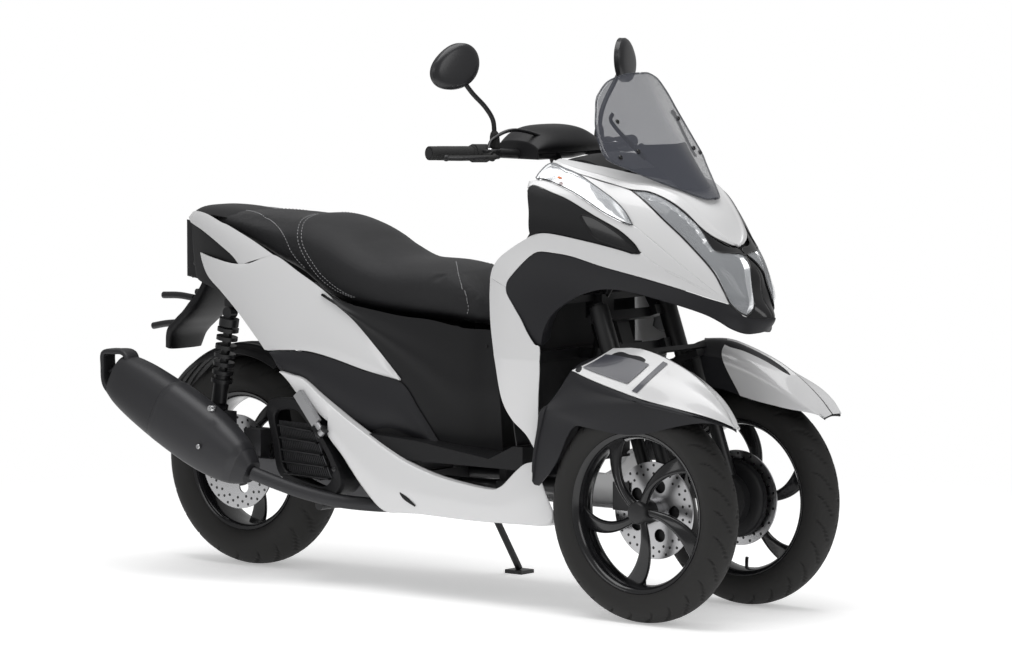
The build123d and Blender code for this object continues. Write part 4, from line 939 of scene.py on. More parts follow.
# Seat: closed sections along X, swollen as cloth, with two-level stitching laid on after
seatForm = {
    "x": (-0.740, -0.735, -0.712, -0.660, -0.604, -0.523, -0.455, -0.386, -0.318,
          -0.268, -0.217, -0.134, -0.010, 0.080, 0.136, 0.172, 0.186, 0.189),
    "top": (0.846, 0.853, 0.860, 0.864, 0.866, 0.865, 0.863, 0.866, 0.852,
            0.833, 0.806, 0.776, 0.771, 0.754, 0.722, 0.684, 0.664, 0.655),
    "low": (0.842, 0.838, 0.834, 0.832, 0.822, 0.798, 0.770, 0.742, 0.700,
            0.678, 0.666, 0.656, 0.649, 0.646, 0.644, 0.642, 0.642, 0.645),
    "half": (0.020, 0.052, 0.080, 0.112, 0.130, 0.146, 0.153, 0.156, 0.157, 0.157, 0.156, 0.154, 0.142, 0.122,
             0.102, 0.080, 0.055, 0.018),
    "voxel": 0.006, "pressure": 4.0, "cap": 0.007, "pitch": 0.0085,
}
stations = smooth(np.stack([seatForm["x"], seatForm["top"], seatForm["low"]], -1), 150)
seatHalf = np.interp(stations[:, 0], seatForm["x"], seatForm["half"])


# A point of the seat: a superellipse between top and low, squarer below, its crown falling to the sides
def seatPoint(row, angle, lift=0.0):
    top, low, half = stations[row, 1], stations[row, 2], seatHalf[row]
    c, s = np.cos(angle), np.sin(angle)
    power = np.where(s > 0, 2 / 2.9, 2 / 6.0)
    y = (half + lift) * np.sign(c) * np.abs(c) ** power
    z = (top + low) / 2 - 0.004 + ((top - low) / 2 + 0.004 + lift) * np.sign(s) * np.abs(s) ** power
    z = z - 0.10 * np.maximum(s, 0) * (y / 0.16) ** 2 * np.clip(top - low, 0, 0.2)
    return np.stack([stations[row, 0] + 0 * y, y, z], -1)


rowIndex, angles = np.meshgrid(np.arange(150), np.linspace(0, 2 * np.pi, 72, endpoint=False), indexing="ij")
seatGrid = seatPoint(rowIndex, angles, -0.003)
seatPiece = surface("saddle", [seatGrid], "seat", "seat_body", closeV=True, caps=True, away=(-0.2, 0, 0.74),
    crease=60)
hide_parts("seat")


# The seat remeshed and swollen as cloth under pressure, each point moved by the cap at most
def swell(piece):
    remesh = piece.modifiers.new("remesh", "REMESH")
    remesh.mode = "VOXEL"
    remesh.voxel_size = seatForm["voxel"]
    graph = bpy.context.evaluated_depsgraph_get()
    piece.data = bpy.data.meshes.new_from_object(piece.evaluated_get(graph))
    piece.modifiers.clear()
    count = len(piece.data.vertices)
    before = np.empty(count * 3)
    piece.data.vertices.foreach_get("co", before)
    cloth = piece.modifiers.new("cloth", "CLOTH")
    cloth.settings.quality = 4
    cloth.settings.use_pressure = True
    cloth.settings.uniform_pressure_force = seatForm["pressure"]
    cloth.settings.effector_weights.gravity = 0.0
    cloth.collision_settings.use_self_collision = False
    cloth.point_cache.frame_start = 1
    cloth.point_cache.frame_end = 20
    for step in range(1, 21):
        bpy.context.scene.frame_set(step)
    graph = bpy.context.evaluated_depsgraph_get()
    after = np.empty(count * 3)
    piece.evaluated_get(graph).data.vertices.foreach_get("co", after)
    piece.modifiers.clear()
    bpy.context.scene.frame_set(1)
    move = (after - before).reshape(-1, 3)
    length = np.linalg.norm(move, axis=1, keepdims=True)
    move *= np.minimum(1.0, seatForm["cap"] / np.maximum(length, 1e-9))
    piece.data.vertices.foreach_set("co", (before.reshape(-1, 3) + move).ravel())
    piece.data.polygons.foreach_set("use_smooth", np.ones(len(piece.data.polygons), bool))
    piece.data.update()
    more = piece.modifiers.new("finer", "SUBSURF")
    more.levels = more.render_levels = 1


swell(seatPiece)
print("seat done")

# Stitching: short stitches along lines sighted on the seat's side, laid on the swollen cloth
graph = bpy.context.evaluated_depsgraph_get()
seatTree = BVHTree.FromObject(seatPiece, graph)


def stitches(line):
    run = smooth(line, max(8, int(np.linalg.norm(np.diff(np.array(line), axis=0),
        axis=1).sum() / seatForm["pitch"])))
    found = [seatTree.find_nearest(Vector(p)) for p in run]
    spot = np.array([f[0] for f in found])
    out = np.array([f[1] for f in found])
    along = unit(np.gradient(spot, axis=0))
    side = unit(np.cross(along, out))
    a = np.linspace(0, 2 * np.pi, 6, endpoint=False)
    t = np.array([(-1.0, 0.35, -0.0004), (-0.55, 1.0, 0.0006), (0.0, 1.0, 0.0009), (0.55, 1.0, 0.0006),
                  (1.0, 0.35, -0.0004)])
    reach = seatForm["pitch"] * 0.34
    high = 0.0008 * t[None, :, None, 1:2] * np.sin(a)[None, None, :, None]
    sheets = (spot[:, None, None] + along[:, None, None] * t[None, :, None, :1] * reach
              + out[:, None, None] * (t[None, :, None, 2:] + high)
              + side[:, None, None] * 0.0009 * t[None, :, None, 1:2] * np.cos(a)[None, None, :, None])
    return list(sheets)


# Pixels and half widths of a seam, sighted to places
def seatLine(points):
    return [tuple(onPlane([p[:2]], -p[2])[0]) for p in points]


backArc = seatLine([(318, 217.5, 0.05), (307, 224, 0.10), (302.5, 235, 0.135), (304, 250, 0.15),
    (311, 264, 0.155), (320, 277, 0.157), (336, 291, 0.157), (350, 300, 0.157)])
innerArc = seatLine([(315, 217.8, 0.05), (303.5, 224, 0.10), (299, 235, 0.135), (300.5, 251, 0.15),
                     (308, 267, 0.155), (318, 281, 0.157), (333, 293.5, 0.157), (347, 301, 0.157)])
rearArc = seatLine([(240, 217.5, 0.03), (262, 217.5, 0.09), (275, 223, 0.125), (283, 235, 0.145),
    (290, 252, 0.150), (300, 269, 0.155)])
noseArc = seatLine([(456, 262, 0.03), (458.5, 270, 0.10), (460, 285, 0.138), (461, 300, 0.142),
    (461, 317, 0.140)])
threads = []
for line in (backArc, innerArc, rearArc, noseArc):
    threads += stitches(line)
    threads += stitches([(x, -y, z) for x, y, z in line])
surface("stitching", threads, "thread", "seat_body", closeV=True, away=(-0.2, 0, 0.74))
print("stitching done")

# Muffler: rounded sections along its axis, a shield over it and an open end frame
pot = {
    "from": (-0.430, -0.262, 0.262), "to": (-0.876, -0.275, 0.487),
    "t": (0.0, 0.03, 0.10, 0.22, 0.36, 0.55, 0.74, 0.86, 0.93),
    "tall": (0.056, 0.078, 0.112, 0.140, 0.154, 0.156, 0.146, 0.130, 0.112),
    "wide": (0.050, 0.064, 0.084, 0.096, 0.102, 0.104, 0.100, 0.094, 0.080), "power": 2.7,
}
potStart, potEnd = np.array(pot["from"]), np.array(pot["to"])
potAlong = unit(potEnd - potStart)
potSide = unit(np.cross(potAlong, (0, 0, 1.0)))
potSide = potSide if potSide[1] < 0 else -potSide
potUp = unit(np.cross(potSide, potAlong))
potUp = potUp if potUp[2] > 0 else -potUp


# A sheet of the pot between two stations and two angles
def potSheet(fromT, toT, fromA, toA, rows, around, lift=0.0, closed=False):
    t = np.linspace(fromT, toT, rows)
    run = smooth(np.stack([pot["t"], pot["tall"], pot["wide"]], -1), 300)
    tall, wide = np.interp(t, run[:, 0], run[:, 1]), np.interp(t, run[:, 0], run[:, 2])
    a = np.linspace(math.radians(fromA), math.radians(toA), around, endpoint=not closed)
    c, s = np.cos(a), np.sin(a)
    power = 2 / pot["power"]
    out = (wide[:, None] / 2 + lift) * (np.sign(c) * np.abs(c) ** power)[None, :]
    up = (tall[:, None] / 2 + lift) * (np.sign(s) * np.abs(s) ** power)[None, :]
    base = potStart + t[:, None] * (potEnd - potStart)
    return base[:, None] + out[..., None] * potSide + up[..., None] * potUp


potPiece = surface("muffler", [potSheet(0.0, 0.93, 0, 360, 90, 64, 0.0, True)], "heatBlack", closeV=True,
                   caps=True, away=tuple((potStart + potEnd) / 2), crease=40)
shield = potSheet(0.06, 0.60, -58, 118, 60, 44, 0.0)
t = np.linspace(0, 1, 60)[:, None]
edgeFall = np.minimum(1, np.minimum(t, 1 - t) * 18) * np.minimum(
    1, np.minimum(np.linspace(0, 1, 44), 1 - np.linspace(0, 1, 44))[None, :] * 14)
centreLine = (potStart + np.linspace(0.06, 0.60, 60)[:, None] * (potEnd - potStart))[:, None]
shield += 0.0042 * edgeFall[..., None] * unit(shield - centreLine)
surface("mufflerShield", [shield], "shieldBlack", away=tuple((potStart + potEnd) / 2), thick=0.002)
frameLoop = onPlane([(108.5, 352.5), (118, 351.2), (127, 352), (131.5, 358), (133, 374), (131.5, 390),
    (127, 397), (121, 396.5), (112.5, 388.5), (108.8, 380), (108, 366)], -0.277)
frameRun = smooth(frameLoop, 90, True)
surface("mufflerEnd", [sweep(np.vstack([frameRun, frameRun[:1]]), rounded(0.014, 0.046, 4, 24),
    up=(0, 1, 0))], "heatBlack", closeV=True, away=tuple(frameRun.mean(0)))
barLine = onPlane([(110, 371.5), (117, 366.5), (124, 362.5), (131, 361)], -0.277)
surface("mufflerBar", [tube(barLine, 0.0045, 20, 10)], "heatBlack", closeV=True, caps=True)
pipe = [(-0.425, -0.262, 0.262), (-0.37, -0.245, 0.243), (-0.30, -0.222, 0.222), (-0.22, -0.190, 0.205),
        (-0.15, -0.140, 0.196), (-0.092, -0.080, 0.192)]
surface("exhaustPipe", [tube(pipe, 0.0165, 70, 20)], "heatBlack", closeV=True, caps=True)
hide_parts("exhaust")
bolts = onPlane([(213.5, 410), (198.5, 446.5)], -0.3225)
buttons("mufflerBolts", bolts[1:], potSide, 0.006, 0.004, "steel")
buttons("mufflerStud", onPlane([(213.5, 409)], -0.305), (0, -1, 0.2), 0.0095, 0.014, "silver")
print("muffler done")

# Knee shield behind the cowl: a bowed sheet whose width follows its height, with a ridge down
# its middle. Rows are (z, x, half width)
knee = {
    "rows": [(0.374, 0.330, 0.200), (0.45, 0.338, 0.224), (0.60, 0.334, 0.235), (0.75, 0.330, 0.236),
             (0.80, 0.331, 0.222), (0.85, 0.334, 0.164), (0.90, 0.340, 0.134), (0.935, 0.346, 0.110)],
    "bow": 0.022, "foot": 0.37, "rise": 0.1, "ridge": 0.010, "ridgeWide": 0.28,
}
rows = smooth(knee["rows"], 60)
t = np.linspace(-1, 1, 40)[None, :]
bow = knee["bow"] * (1 - t ** 2) * np.clip((rows[:, :1] - knee["foot"]) / knee["rise"], 0, 1)
ridge = knee["ridge"] * np.exp(-(t / knee["ridgeWide"]) ** 2)
shieldSheet = np.stack([rows[:, 1:2] - bow - ridge, t * rows[:, 2:], rows[:, :1] + 0 * t], -1)
kneePiece = surface("kneeShield", [shieldSheet], "blackPlastic", away=(0.8, 0, 0.6), thick=0.004, bevel=0.001)
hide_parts("leg_shield")

# Wheels: a turned rim and hub joined by twisted blades that sweep back towards the rim
spoke = {
    "count": 5, "hub": 0.024, "sweep": -26.0, "narrow": 0.0085, "broad": 0.026, "thin": 0.0065, "root": 0.004,
    "twist": 38.0, "lean": 0.010, "bow": 0.004, "gap": 0.013,
    "shroud": [(0.030, 0.1495), (0.086, 0.1500), (0.0895, 0.1450), (0.0890, 0.1330), (0.080, 0.1250),
        (0.060, 0.1205), (0.030, 0.1190), (0.0002, 0.1185)],
    "shroudY": 0.142,
}


def wheel(name, node, centre, rimR, half, hubR, hubHalf, body, turn, phase=0.0):
    ring = [(rimR + 0.003, half), (rimR + 0.0015, half + 0.002), (rimR - 0.002, half + 0.0015),
            (rimR - 0.008, half - 0.003), (rimR - 0.012, half - 0.011), (rimR - 0.015, half * 0.3),
            (rimR - 0.015, -half * 0.3), (rimR - 0.012, -half + 0.011), (rimR - 0.008, -half + 0.003),
            (rimR - 0.002, -half - 0.0015), (rimR + 0.0015, -half - 0.002), (rimR + 0.003, -half),
            (rimR - 0.001, -half + 0.007), (rimR - 0.005, 0.0), (rimR - 0.001, half - 0.007)]
    hubRing = [(hubR * 0.78, hubHalf * turn), (hubR * 0.95, hubHalf * 0.92 * turn),
        (hubR, hubHalf * 0.5 * turn), (hubR * 1.1, 0.0), (hubR, -hubHalf * 0.6 * turn), (hubR * 0.9,
        -hubHalf * turn)]
    sheets = []
    u = np.linspace(0, 1, 40)
    section = rounded(2.0, 2.0, 3.0, 28)
    for k in range(spoke["count"]):
        reach = spoke["hub"] + (rimR - spoke["gap"] - spoke["hub"]) * u
        angle = 2 * np.pi * k / spoke["count"] + phase + math.radians(spoke["sweep"]) * turn * (u ** 1.4)
        wide = spoke["narrow"] + (spoke["broad"] - spoke["narrow"]) * u ** 1.6
        thin = spoke["thin"] + spoke["root"] * (1 - u)
        twist = turn * math.radians(spoke["twist"]) * (1 - u) ** 0.8
        lift = turn * (hubHalf * 0.45 - spoke["lean"] * u + spoke["bow"] * np.sin(np.pi * u))
        flat = section[None, :, 0] * wide[:, None]
        deep = section[None, :, 1] * thin[:, None]
        along = flat * np.cos(twist)[:, None] - deep * np.sin(twist)[:, None]
        out = flat * np.sin(twist)[:, None] + deep * np.cos(twist)[:, None]
        rx, rz = np.sin(angle)[:, None], np.cos(angle)[:, None]
        sheets.append(np.stack([centre[0] + reach[:, None] * rx + along * rz, centre[1] + lift[:, None] + out,
                                centre[2] + reach[:, None] * rz - along * rx], -1))
    piece = surface(name, sheets, "gloss", body, closeV=True, caps=True, crease=50)
    rimPiece = surface(name + "Rim", [turned(ring, centre, 144)], "gloss", body, closeU=True, closeV=True,
        crease=50)
    recalc(rimPiece)
    surface(name + "Hub", [turned(hubRing, centre, 144)], "satin", body, closeV=True, caps=True, away=centre,
            crease=50)
    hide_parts(node)


# A closed ring's faces turned outwards
def recalc(piece):
    work = bmesh.new()
    work.from_mesh(piece.data)
    bmesh.ops.recalc_face_normals(work, faces=work.faces)
    work.to_mesh(piece.data)
    work.free()


for side, turn in sides.items():
    wheel("wheel_" + side, "front_wheel_" + side, hubs[side], size["frontRimR"], 0.0325, 0.027, 0.0305,
          side + "_wheel", turn, 0.35)
    cover = smooth([(r, turn * y) for r, y in spoke["shroud"]], 40)
    surface("hubShroud_" + side, [turned(cover, (size["frontX"], 0, size["frontR"]), 72)], "blackPlastic",
        side + "_fork", closeV=True, away=(size["frontX"], turn * spoke["shroudY"], size["frontR"]))
wheel("wheel_back", "rear_wheel", rearHub, size["rearRimR"], 0.0465, 0.034, 0.045, "back_wheel", -1.0, 0.1)
print("spokes done")

# Mirrors: domed egg-shaped heads on bent stems. Places are those of the left side, dome rows
# are (share of the rim, height), and the egg is one plus small waves round the rim
mirror = {
    "head": (0.247, 0.312, 1.240), "face": (0.94, 0.34, 0.0), "across": (-0.34, 0.94, 0.0), "tip": -18,
    "wide": 0.062, "tall": 0.052, "egg": ((0.06, 2, 0.8), (0.03, 3, 0.0)), "glass": 0.0104, "glassEdge": 0.86,
    "dome": [(0.0, -0.0100), (0.90, -0.0100), (0.97, -0.0085), (1.0, -0.004), (1.0, 0.000), (0.95, 0.0055),
        (0.80, 0.0105), (0.55, 0.0130), (0.25, 0.0140), (0.0005, 0.0142)],
    "stem": [(0.262, 0.192, 1.052), (0.262, 0.194, 1.086), (0.262, 0.200, 1.118), (0.257, 0.222, 1.148),
        (0.250, 0.256, 1.178), (0.246, 0.286, 1.208)],
    "stemR": 0.0055,
    "boot": [(0.262, 0.192, 1.050), (0.262, 0.193, 1.078), (0.262, 0.195, 1.092)],
    "bootAt": (0, 0.1, 0.7, 0.9, 1), "bootR": (0.0115, 0.0125, 0.0110, 0.0085, 0.0055),
}
a = np.linspace(0, 2 * np.pi, 72, endpoint=False)
egg = 1 + sum(share * np.cos(count * a + shift) for share, count, shift in mirror["egg"])
dome = smooth(mirror["dome"], 44)
bootR = np.interp(np.linspace(0, 1, 24), mirror["bootAt"], mirror["bootR"])
for side, turn in sides.items():
    flip = np.array((1.0, turn, 1.0))
    head = np.array(mirror["head"]) * flip
    face = unit(np.array(mirror["face"]) * flip)
    tip = math.radians(mirror["tip"])
    wide = np.array(mirror["across"]) * flip * math.cos(tip) + np.array((0, 0, 1.0)) * math.sin(tip)
    tall = np.cross(face, wide)
    tall = tall if tall[2] > 0 else -tall
    edge = mirror["wide"] * np.cos(a)[:, None] * wide + mirror["tall"] * np.sin(a)[:, None] * tall
    edge = (edge * egg[:, None])[None]
    grid = head + dome[:, :1, None] * edge + dome[:, 1:, None] * face
    piece = surface("mirrorHead_" + side, [grid], "mirrorBlack", "bar", closeV=True, away=tuple(head))
    stem = tube(np.array(mirror["stem"]) * flip, mirror["stemR"], 60, 16)
    surface("mirrorStem_" + side, [stem], "satin", "bar", closeV=True, caps=True)
    boot = sweep(smooth(np.array(mirror["boot"]) * flip, 24), ringOf(1.0, 20), bootR, up=(1, 0, 0))
    surface("mirrorBoot_" + side, [boot], "rubber", "bar", closeV=True, caps=True)
    glass = head - face * mirror["glass"] + np.linspace(0.001, mirror["glassEdge"], 12)[:, None, None] * edge
    surface("mirrorGlass_" + side, [glass], "silver", "bar", closeV=True, away=tuple(head + face * 0.05))
    if side == "right":
        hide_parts("mirrors")
print("mirrors done")

# Bar: grips with ribs, bar ends, levers with ball ends, reservoirs and one brake hose.
# Places are those of the left side; lever and hose points are offsets from the lever's root or the bar's end
bar = {
    "outer": (0.222, 0.360, 1.046), "root": (0.262, 0.170, 1.040), "grip": (-0.0135, 0.112), "gripR": 0.0158,
    "ribs": (0.0007, 0.0045, 0.008, 0.104), "collar": (0.106, 0.0185), "cap": (-0.004, 0.0150),
    "end": (-0.0150, -0.0125), "endR": 0.0118, "lever": (0.0135, 0.0075, 2.4), "leverAt": 0.132,
    "hoseR": 0.0042,
    "ball": [(0.0001, -0.0075), (0.004, -0.0062), (0.0070, -0.003), (0.0075, 0.0), (0.0070, 0.003),
        (0.004, 0.0062), (0.0001, 0.0075)],
    "ballAt": (0.036, 0, -0.010),
    "tank": [(0.0001, 0.0), (0.0135, 0.0), (0.0150, 0.002), (0.0150, 0.017), (0.0165, 0.0175),
        (0.0165, 0.021), (0.0150, 0.0225), (0.0001, 0.0228)],
    "tankAt": (0.024, -0.012, -0.013), "tankWide": (1.25, 1.5),
}
for side, turn in sides.items():
    flip = np.array((1.0, turn, 1.0))
    outer = np.array(bar["outer"]) * flip
    way = unit(np.array(bar["root"]) * flip - outer)
    u = np.linspace(*bar["grip"], 110)
    high, pitch, ribFrom, ribTo = bar["ribs"]
    ribs = bar["gripR"] + high * np.sin(u * 2 * np.pi / pitch) * (u > ribFrom) * (u < ribTo)
    ribs = np.where(u > bar["collar"][0], bar["collar"][1], np.where(u < bar["cap"][0], bar["cap"][1], ribs))
    surface("grip_" + side, [sweep(outer + u[:, None] * way, ringOf(1.0, 28), ribs)], "grip", "bar",
        closeV=True, caps=True, crease=60)
    u = np.linspace(*bar["end"], 6)
    surface("barEnd_" + side, [sweep(outer + u[:, None] * way, ringOf(bar["endR"], 24))], "gloss", "bar",
        closeV=True, caps=True)
    leverRoot = outer + way * bar["leverAt"]
    lever = [leverRoot + (0.020, 0, -0.001), leverRoot + (0.048, 0, -0.007),
        outer + way * 0.075 + (0.053, 0, -0.009), outer + way * 0.030 + (0.048, 0, -0.010), outer + (0.037, 0,
        -0.010)]
    surface("lever_" + side, [sweep(smooth(lever, 60), rounded(*bar["lever"], 16))], "satin", "bar",
        closeV=True, caps=True)
    ballAt = outer + bar["ballAt"]
    surface("leverBall_" + side, [turned(smooth(bar["ball"], 20), ballAt, 20)], "satin", "bar", closeV=True,
            away=tuple(ballAt))
    if side == "right":
        hose = [leverRoot + (0.024, 0, 0.004), leverRoot + (0.020, -turn * 0.02, 0.030),
                (0.285, turn * 0.170, 1.092), (0.300, turn * 0.120, 1.088), (0.322, turn * 0.060, 1.066)]
        surface("brakeHose", [tube(hose, bar["hoseR"], 60, 12)], "gloss", "bar", closeV=True, caps=True)
    a = np.linspace(0, 2 * np.pi, 32, endpoint=False)
    tank = np.array(bar["tank"])
    place = leverRoot + np.array(bar["tankAt"]) * flip
    grid = np.stack([place[0] + bar["tankWide"][0] * tank[:, :1] * np.cos(a),
        place[1] + bar["tankWide"][1] * tank[:, :1] * np.sin(a), place[2] + tank[:, 1:] + 0 * a], -1)
    surface("reservoir_" + side, [grid], "satin", "bar", closeV=True, away=tuple(place + (0, 0, 0.011)))
    buttons("leverPivot_" + side, [leverRoot + (0.030, 0, 0.008)], (0, 0, 1), 0.006, 0.004, "silver", "bar")
print("bar done")

# Bar cover: a humped shell over the bar
coverV = np.linspace(-1, 1, 60)
line = smooth([(0.199, 1.052), (0.204, 1.078), (0.222, 1.096), (0.262, 1.1015), (0.306, 1.096),
    (0.336, 1.078), (0.350, 1.058), (0.344, 1.040)], 40)
fall = 1 - np.abs(coverV) ** 3.2 * 0.55
coverSheet = np.stack([0.275 + (line[:, :1] - 0.275) * (1 - 0.20 * np.abs(coverV) ** 2),
    0.1245 * coverV + 0 * line[:, :1], 1.040 + (line[:, 1:] - 1.040) * fall[None, :]], -1)
wallU = np.linspace(0, 1, 8)[None, :, None]
coverEdge = coverSheet[:, 0]
coverFoot = coverEdge * (1, 1, 0) + np.array((0, 0, 1.026))
coverWall = coverEdge[:, None] * (1 - wallU) + coverFoot[:, None] * wallU
surface("barShellSides", both(coverWall), "blackPlastic", "bar", away=(0.27, -0.001, 1.06), thick=0.002)
coverPiece = surface("barShell", [coverSheet], "blackPlastic", "bar", away=(0.27, 0, 1.0), thick=0.003,
    bevel=0.001)
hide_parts("bar_cover")

# Instrument hood behind the screen
hoodLine = smooth([(0.357, 1.006), (0.372, 1.026), (0.410, 1.036), (0.450, 1.0405), (0.500, 1.028),
    (0.543, 1.008)], 50)
hoodSheet = np.stack([hoodLine[:, :1] + 0.010 * np.abs(coverV) ** 2, 0.1165 * coverV + 0 * hoodLine[:, :1],
                      hoodLine[:, 1:] - 0.012 * np.abs(coverV) ** 3.0 + 0 * coverV], -1)
hoodSides = np.stack([hoodSheet[:, 0], hoodSheet[:, 0] * (1, 1, 0) + np.array((0, 0.002, 0.915))], 1)
hoodPiece = surface("hood", [hoodSheet], "blackPlastic", away=(0.45, 0, 0.9), thick=0.003, bevel=0.001)
cheekSheets = np.linspace(0, 1, 6)[None, :, None] * (hoodSides[:, 1:] - hoodSides[:, :1]) + hoodSides[:, :1]
surface("hoodSides", both(cheekSheets), "blackPlastic", away=(0.45, -0.001, 0.96), thick=0.003)
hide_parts("meter_hood")
print("dash done")

# Tail: dark cap over the seat's end, red lens, mudguard arc and the bare bracket
capRows = smooth([(-0.799, 0.070, 0.850), (-0.790, 0.082, 0.870), (-0.76, 0.090, 0.8775),
    (-0.70, 0.100, 0.8770), (-0.64, 0.100, 0.871), (-0.60, 0.080, 0.862)], 50)
acrossCap = np.linspace(-1, 1, 36)[None, :]
capSheet = np.stack([capRows[:, :1] + 0 * acrossCap, capRows[:, 1:2] * acrossCap,
                     capRows[:, 2:] - 0.020 * np.abs(acrossCap) ** 3.5], -1)
tailCapPiece = surface("tailCap", [capSheet], "blackPlastic", away=(-0.7, 0, 0.75), thick=0.004, bevel=0.001)
downRows = np.linspace(0, 1, 16)[:, None]
tailBack = np.stack([-0.790 + 0.020 * downRows - 0.006 * np.cos(np.pi / 2 * acrossCap),
    0.080 * acrossCap * (1 - 0.12 * downRows), 0.846 - 0.140 * downRows + 0 * acrossCap], -1)
surface("tailBack", [tailBack], "blackPlastic", away=(-0.6, 0, 0.78), thick=0.003)
skirtSide = np.stack([-0.797 + 0.235 * downRows + 0 * acrossCap[:, :24],
    -(0.088 + 0.055 * downRows) + 0 * acrossCap[:, :24], 0.842 - 0.138 * (np.linspace(0, 1, 24)[None,
    :]) - 0.02 * downRows], -1)
surface("tailSkirts", both(skirtSide), "blackPlastic", away=(-0.7, -0.001, 0.78), thick=0.002)
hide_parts("tail_cover")
lampA = np.linspace(-1, 1, 30)[None, :]
lampB = np.linspace(-1, 1, 24)[:, None]
lampSheet = np.stack([-0.806 - 0.028 * (1 - lampA ** 4) ** 0.5 * (1 - lampB ** 4) ** 0.5,
    0.060 * lampA + 0 * lampB, 0.775 + 0.078 * lampB + 0 * lampA], -1)
lampPiece = surface("tailLens", [lampSheet], "redLens", away=(-0.7, 0, 0.775), thick=0.003)
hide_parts("tail_lamp")

guardA = np.radians(np.linspace(62, 150, 70))[:, None]
guardV = np.linspace(-1, 1, 30)[None, :]
guardRib = 0.0025 * (np.abs((guardV + 1) * 3 % 1 - 0.5) < 0.10)
guardR = 0.287 - 0.022 * np.abs(guardV) ** 4 + guardRib
guardSheet = np.stack([size["rearX"] + guardR * np.cos(guardA), 0.071 * guardV + 0 * guardA,
                       size["rearR"] + guardR * np.sin(guardA)], -1)
guardPiece = surface("rearGuard", [guardSheet], "blackPlastic", away=(size["rearX"], 0, size["rearR"]),
                     thick=0.004, bevel=0.001)
hanger = smooth([(-0.762, 0.0, 0.716), (-0.770, 0.0, 0.68), (-0.790, 0.0, 0.645), (-0.820, 0.0, 0.612),
                 (-0.850, 0.0, 0.588), (-0.880, 0.0, 0.560), (-0.893, 0.0, 0.520)], 50)
surface("bracket", [sweep(hanger, rounded(0.150, 0.030, 3.5, 32), np.interp(np.linspace(0, 1, 50),
    (0, 0.4, 0.8, 1), (0.75, 1.0, 0.95, 0.8)), up=(0, 0, 1))], "blackPlastic", closeV=True, caps=True)
prongs = []
for y in (-0.060, 0.060):
    prongs.append(tube([(-0.800, y, 0.648), (-0.850, y, 0.652), (-0.903, y, 0.650)], 0.0085, 16, 12,
        up=(0, 1, 0)))
    prongs.append(tube([(-0.850, y, 0.585), (-0.895, y, 0.580), (-0.938, y, 0.572)], 0.0085, 16, 12,
        up=(0, 1, 0)))
surface("bracketProngs", prongs, "satin", closeV=True, caps=True)
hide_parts("rear_mudguard")
print("tail done")

# Radiator cover on the right: rounded box face with five slats over fins
rad = {
    "y": -0.1965, "slats": 5, "fins": 22, "finHigh": 0.0020,
    "outline": [(268, 401), (276, 398), (292, 398.5), (300, 405), (322, 436), (338, 468), (341, 484),
        (333, 497), (318, 496), (288, 482), (277, 470), (272, 440), (266, 412)],
}
ring = smooth(onPlane(rad["outline"], rad["y"]), 80, True)
middle = ring.mean(0)
inward = np.array([(1.0, 0.016), (0.995, 0.004), (0.98, 0.0), (0.80, 0.0), (0.77, 0.003), (0.765, 0.014)])
grid = np.stack([middle + s * (ring - middle) + np.array((0, d, 0)) for s, d in inward])
radPiece = surface("radiatorFrame", [grid], "blackPlastic", closeV=True, away=(middle[0], -0.10, middle[2]))
slatSheets = []
for k in range(rad["slats"]):
    left, right = onPlane([(279 + 1.6 * k, 425 + 12.0 * k), (313 + 4.2 * k, 431 + 12.0 * k)],
        rad["y"] + 0.003)
    run = np.linspace(0, 1, 14)[:, None] * (right - left) + left
    slatSheets.append(sweep(run, rounded(0.013, 0.0052, 2.6, 16)))
surface("radiatorSlats", slatSheets, "satin", closeV=True, caps=True)
u, v = np.meshgrid(np.linspace(0, 1, 90), np.linspace(0, 1, 10), indexing="ij")
corners = onPlane([(279, 420), (312, 424), (333, 480), (285, 476)], rad["y"] + 0.013)
finSheet = sum(share[..., None] * corner for share, corner in zip(
    ((1 - u) * (1 - v), u * (1 - v), u * v, (1 - u) * v), corners))
finSheet[..., 1] += rad["finHigh"] * np.sign(np.sin(u * 2 * np.pi * rad["fins"]))
surface("radiatorFins", [finSheet], "darkAlloy", away=(middle[0], -0.10, middle[2]))
sideWall = np.stack([middle + 1.0 * (ring - middle) + np.array((0, 0.016, 0)),
                     middle + 0.96 * (ring - middle) + np.array((0, 0.080, 0))])
surface("radiatorSides", [sideWall], "blackPlastic", closeV=True, away=tuple(middle))
plug1 = onPlane([(334, 469)], rad["y"] - 0.0005)
buttons("radiatorPlug", plug1, (0, -1, 0), 0.0065, 0.002, "gloss")
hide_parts("radiator_cover")
wingBolts = onSide([(526.5, 429), (530.5, 470)], wing["plan"])
wingBolts[:, 1] = -0.2185
buttons("fairingBolts", wingBolts[1:], (0, -1, 0), 0.005, 0.003, "gloss")
print("radiator done")

# Camera at the photograph's angle
cameraData = bpy.data.cameras.new("camera")
cameraData.lens = view["lens"]
cameraData.sensor_width = 36.0
cameraData.clip_end = 100.0
camera = bpy.data.objects.new("camera", cameraData)
camera.location = (view["x"], view["y"], view["z"])
camera.rotation_euler = (math.radians(90 - view["elevation"]), 0, math.radians(view["azimuth"]))
bpy.context.scene.collection.objects.link(camera)
bpy.context.scene.camera = camera


# Floor and light: each lamp's place, aim, size and power
lamps = {
    "top": ((0.2, -0.4, 3.8), (0, 0, 0.5), (3.6, 3.0), 104),
    "front": ((4.6, -1.0, 2.2), (0.4, 0, 0.6), (1.6, 2.4), 26),
    "right": ((-0.6, -4.6, 2.4), (0, 0, 0.5), (3.4, 1.2), 22),
}
floorLook = {"reach": 30.0, "glow": 0.34, "fadeFrom": 1.5, "fadeTo": 2.6, "sky": 0.42, "seenSky": 0.58}


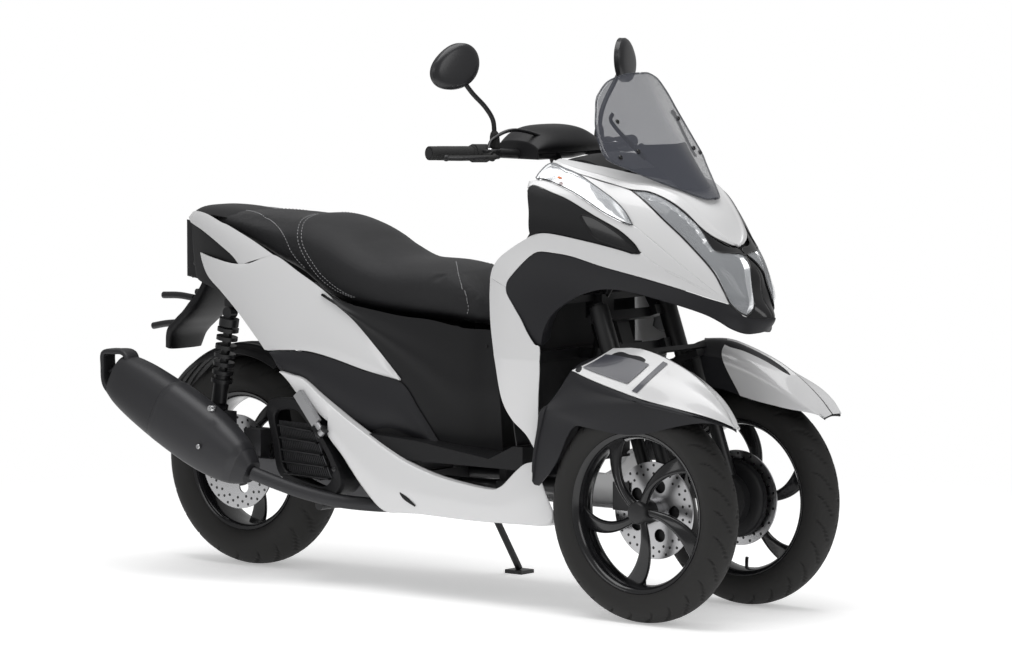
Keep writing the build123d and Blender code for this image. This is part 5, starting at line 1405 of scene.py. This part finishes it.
def area(name, place, aim, wide, power):
    data = bpy.data.lights.new(name, "AREA")
    data.shape = "RECTANGLE"
    data.size = wide[0]
    data.size_y = wide[1]
    data.energy = power
    lamp = bpy.data.objects.new(name, data)
    lamp.location = place
    lamp.rotation_euler = (Vector(place) - Vector(aim)).to_track_quat("Z", "Y").to_euler()
    bpy.context.scene.collection.objects.link(lamp)


# White background, seen brighter than it lights, and a glowing floor that fades out with distance
def studio():
    world = bpy.data.worlds.new("studio")
    bpy.context.scene.world = world
    world.use_nodes = True
    tree = world.node_tree
    back = tree.nodes["Background"]
    ray = tree.nodes.new("ShaderNodeLightPath")
    seen = Wire(tree, ray.outputs["Is Camera Ray"])
    plug(tree, back.inputs["Strength"], seen * floorLook["seenSky"] + floorLook["sky"])
    back.inputs["Color"].default_value = (1, 1, 1, 1)
    bpy.context.scene.view_settings.view_transform = "Standard"
    for name, terms in lamps.items():
        area(name, *terms)
    floor = bpy.data.meshes.new("floor")
    reach = floorLook["reach"]
    corners = [(-reach, -reach, 0), (reach, -reach, 0), (reach, reach, 0), (-reach, reach, 0)]
    floor.from_pydata(corners, [], [(0, 1, 2, 3)])
    ground = bpy.data.objects.new("floor", floor)
    paper = bpy.data.materials.new("paper")
    paper.use_nodes = True
    tree = paper.node_tree
    shader = tree.nodes["Principled BSDF"]
    place = Wire(tree, tree.nodes.new("ShaderNodeTexCoord").outputs["Object"])
    mottle = place.node("TexNoise", None, {"Vector": place, "Scale": 0.4})
    plug(tree, shader.inputs["Base Color"], mottle.mix((0.92, 0.92, 0.92, 1), (0.95, 0.95, 0.95, 1)))
    shader.inputs["Roughness"].default_value = 0.95
    shader.inputs["Specular IOR Level"].default_value = 0.0
    shader.inputs["Emission Color"].default_value = (1, 1, 1, 1)
    shader.inputs["Emission Strength"].default_value = floorLook["glow"]
    away = place.node("VectorMath", {"operation": "LENGTH"}, {0: place}, 1)
    plug(tree, shader.inputs["Alpha"], 1.0 - away.step(floorLook["fadeFrom"], floorLook["fadeTo"]))
    floor.materials.append(paper)
    bpy.context.scene.collection.objects.link(ground)


studio()
print("scene done")
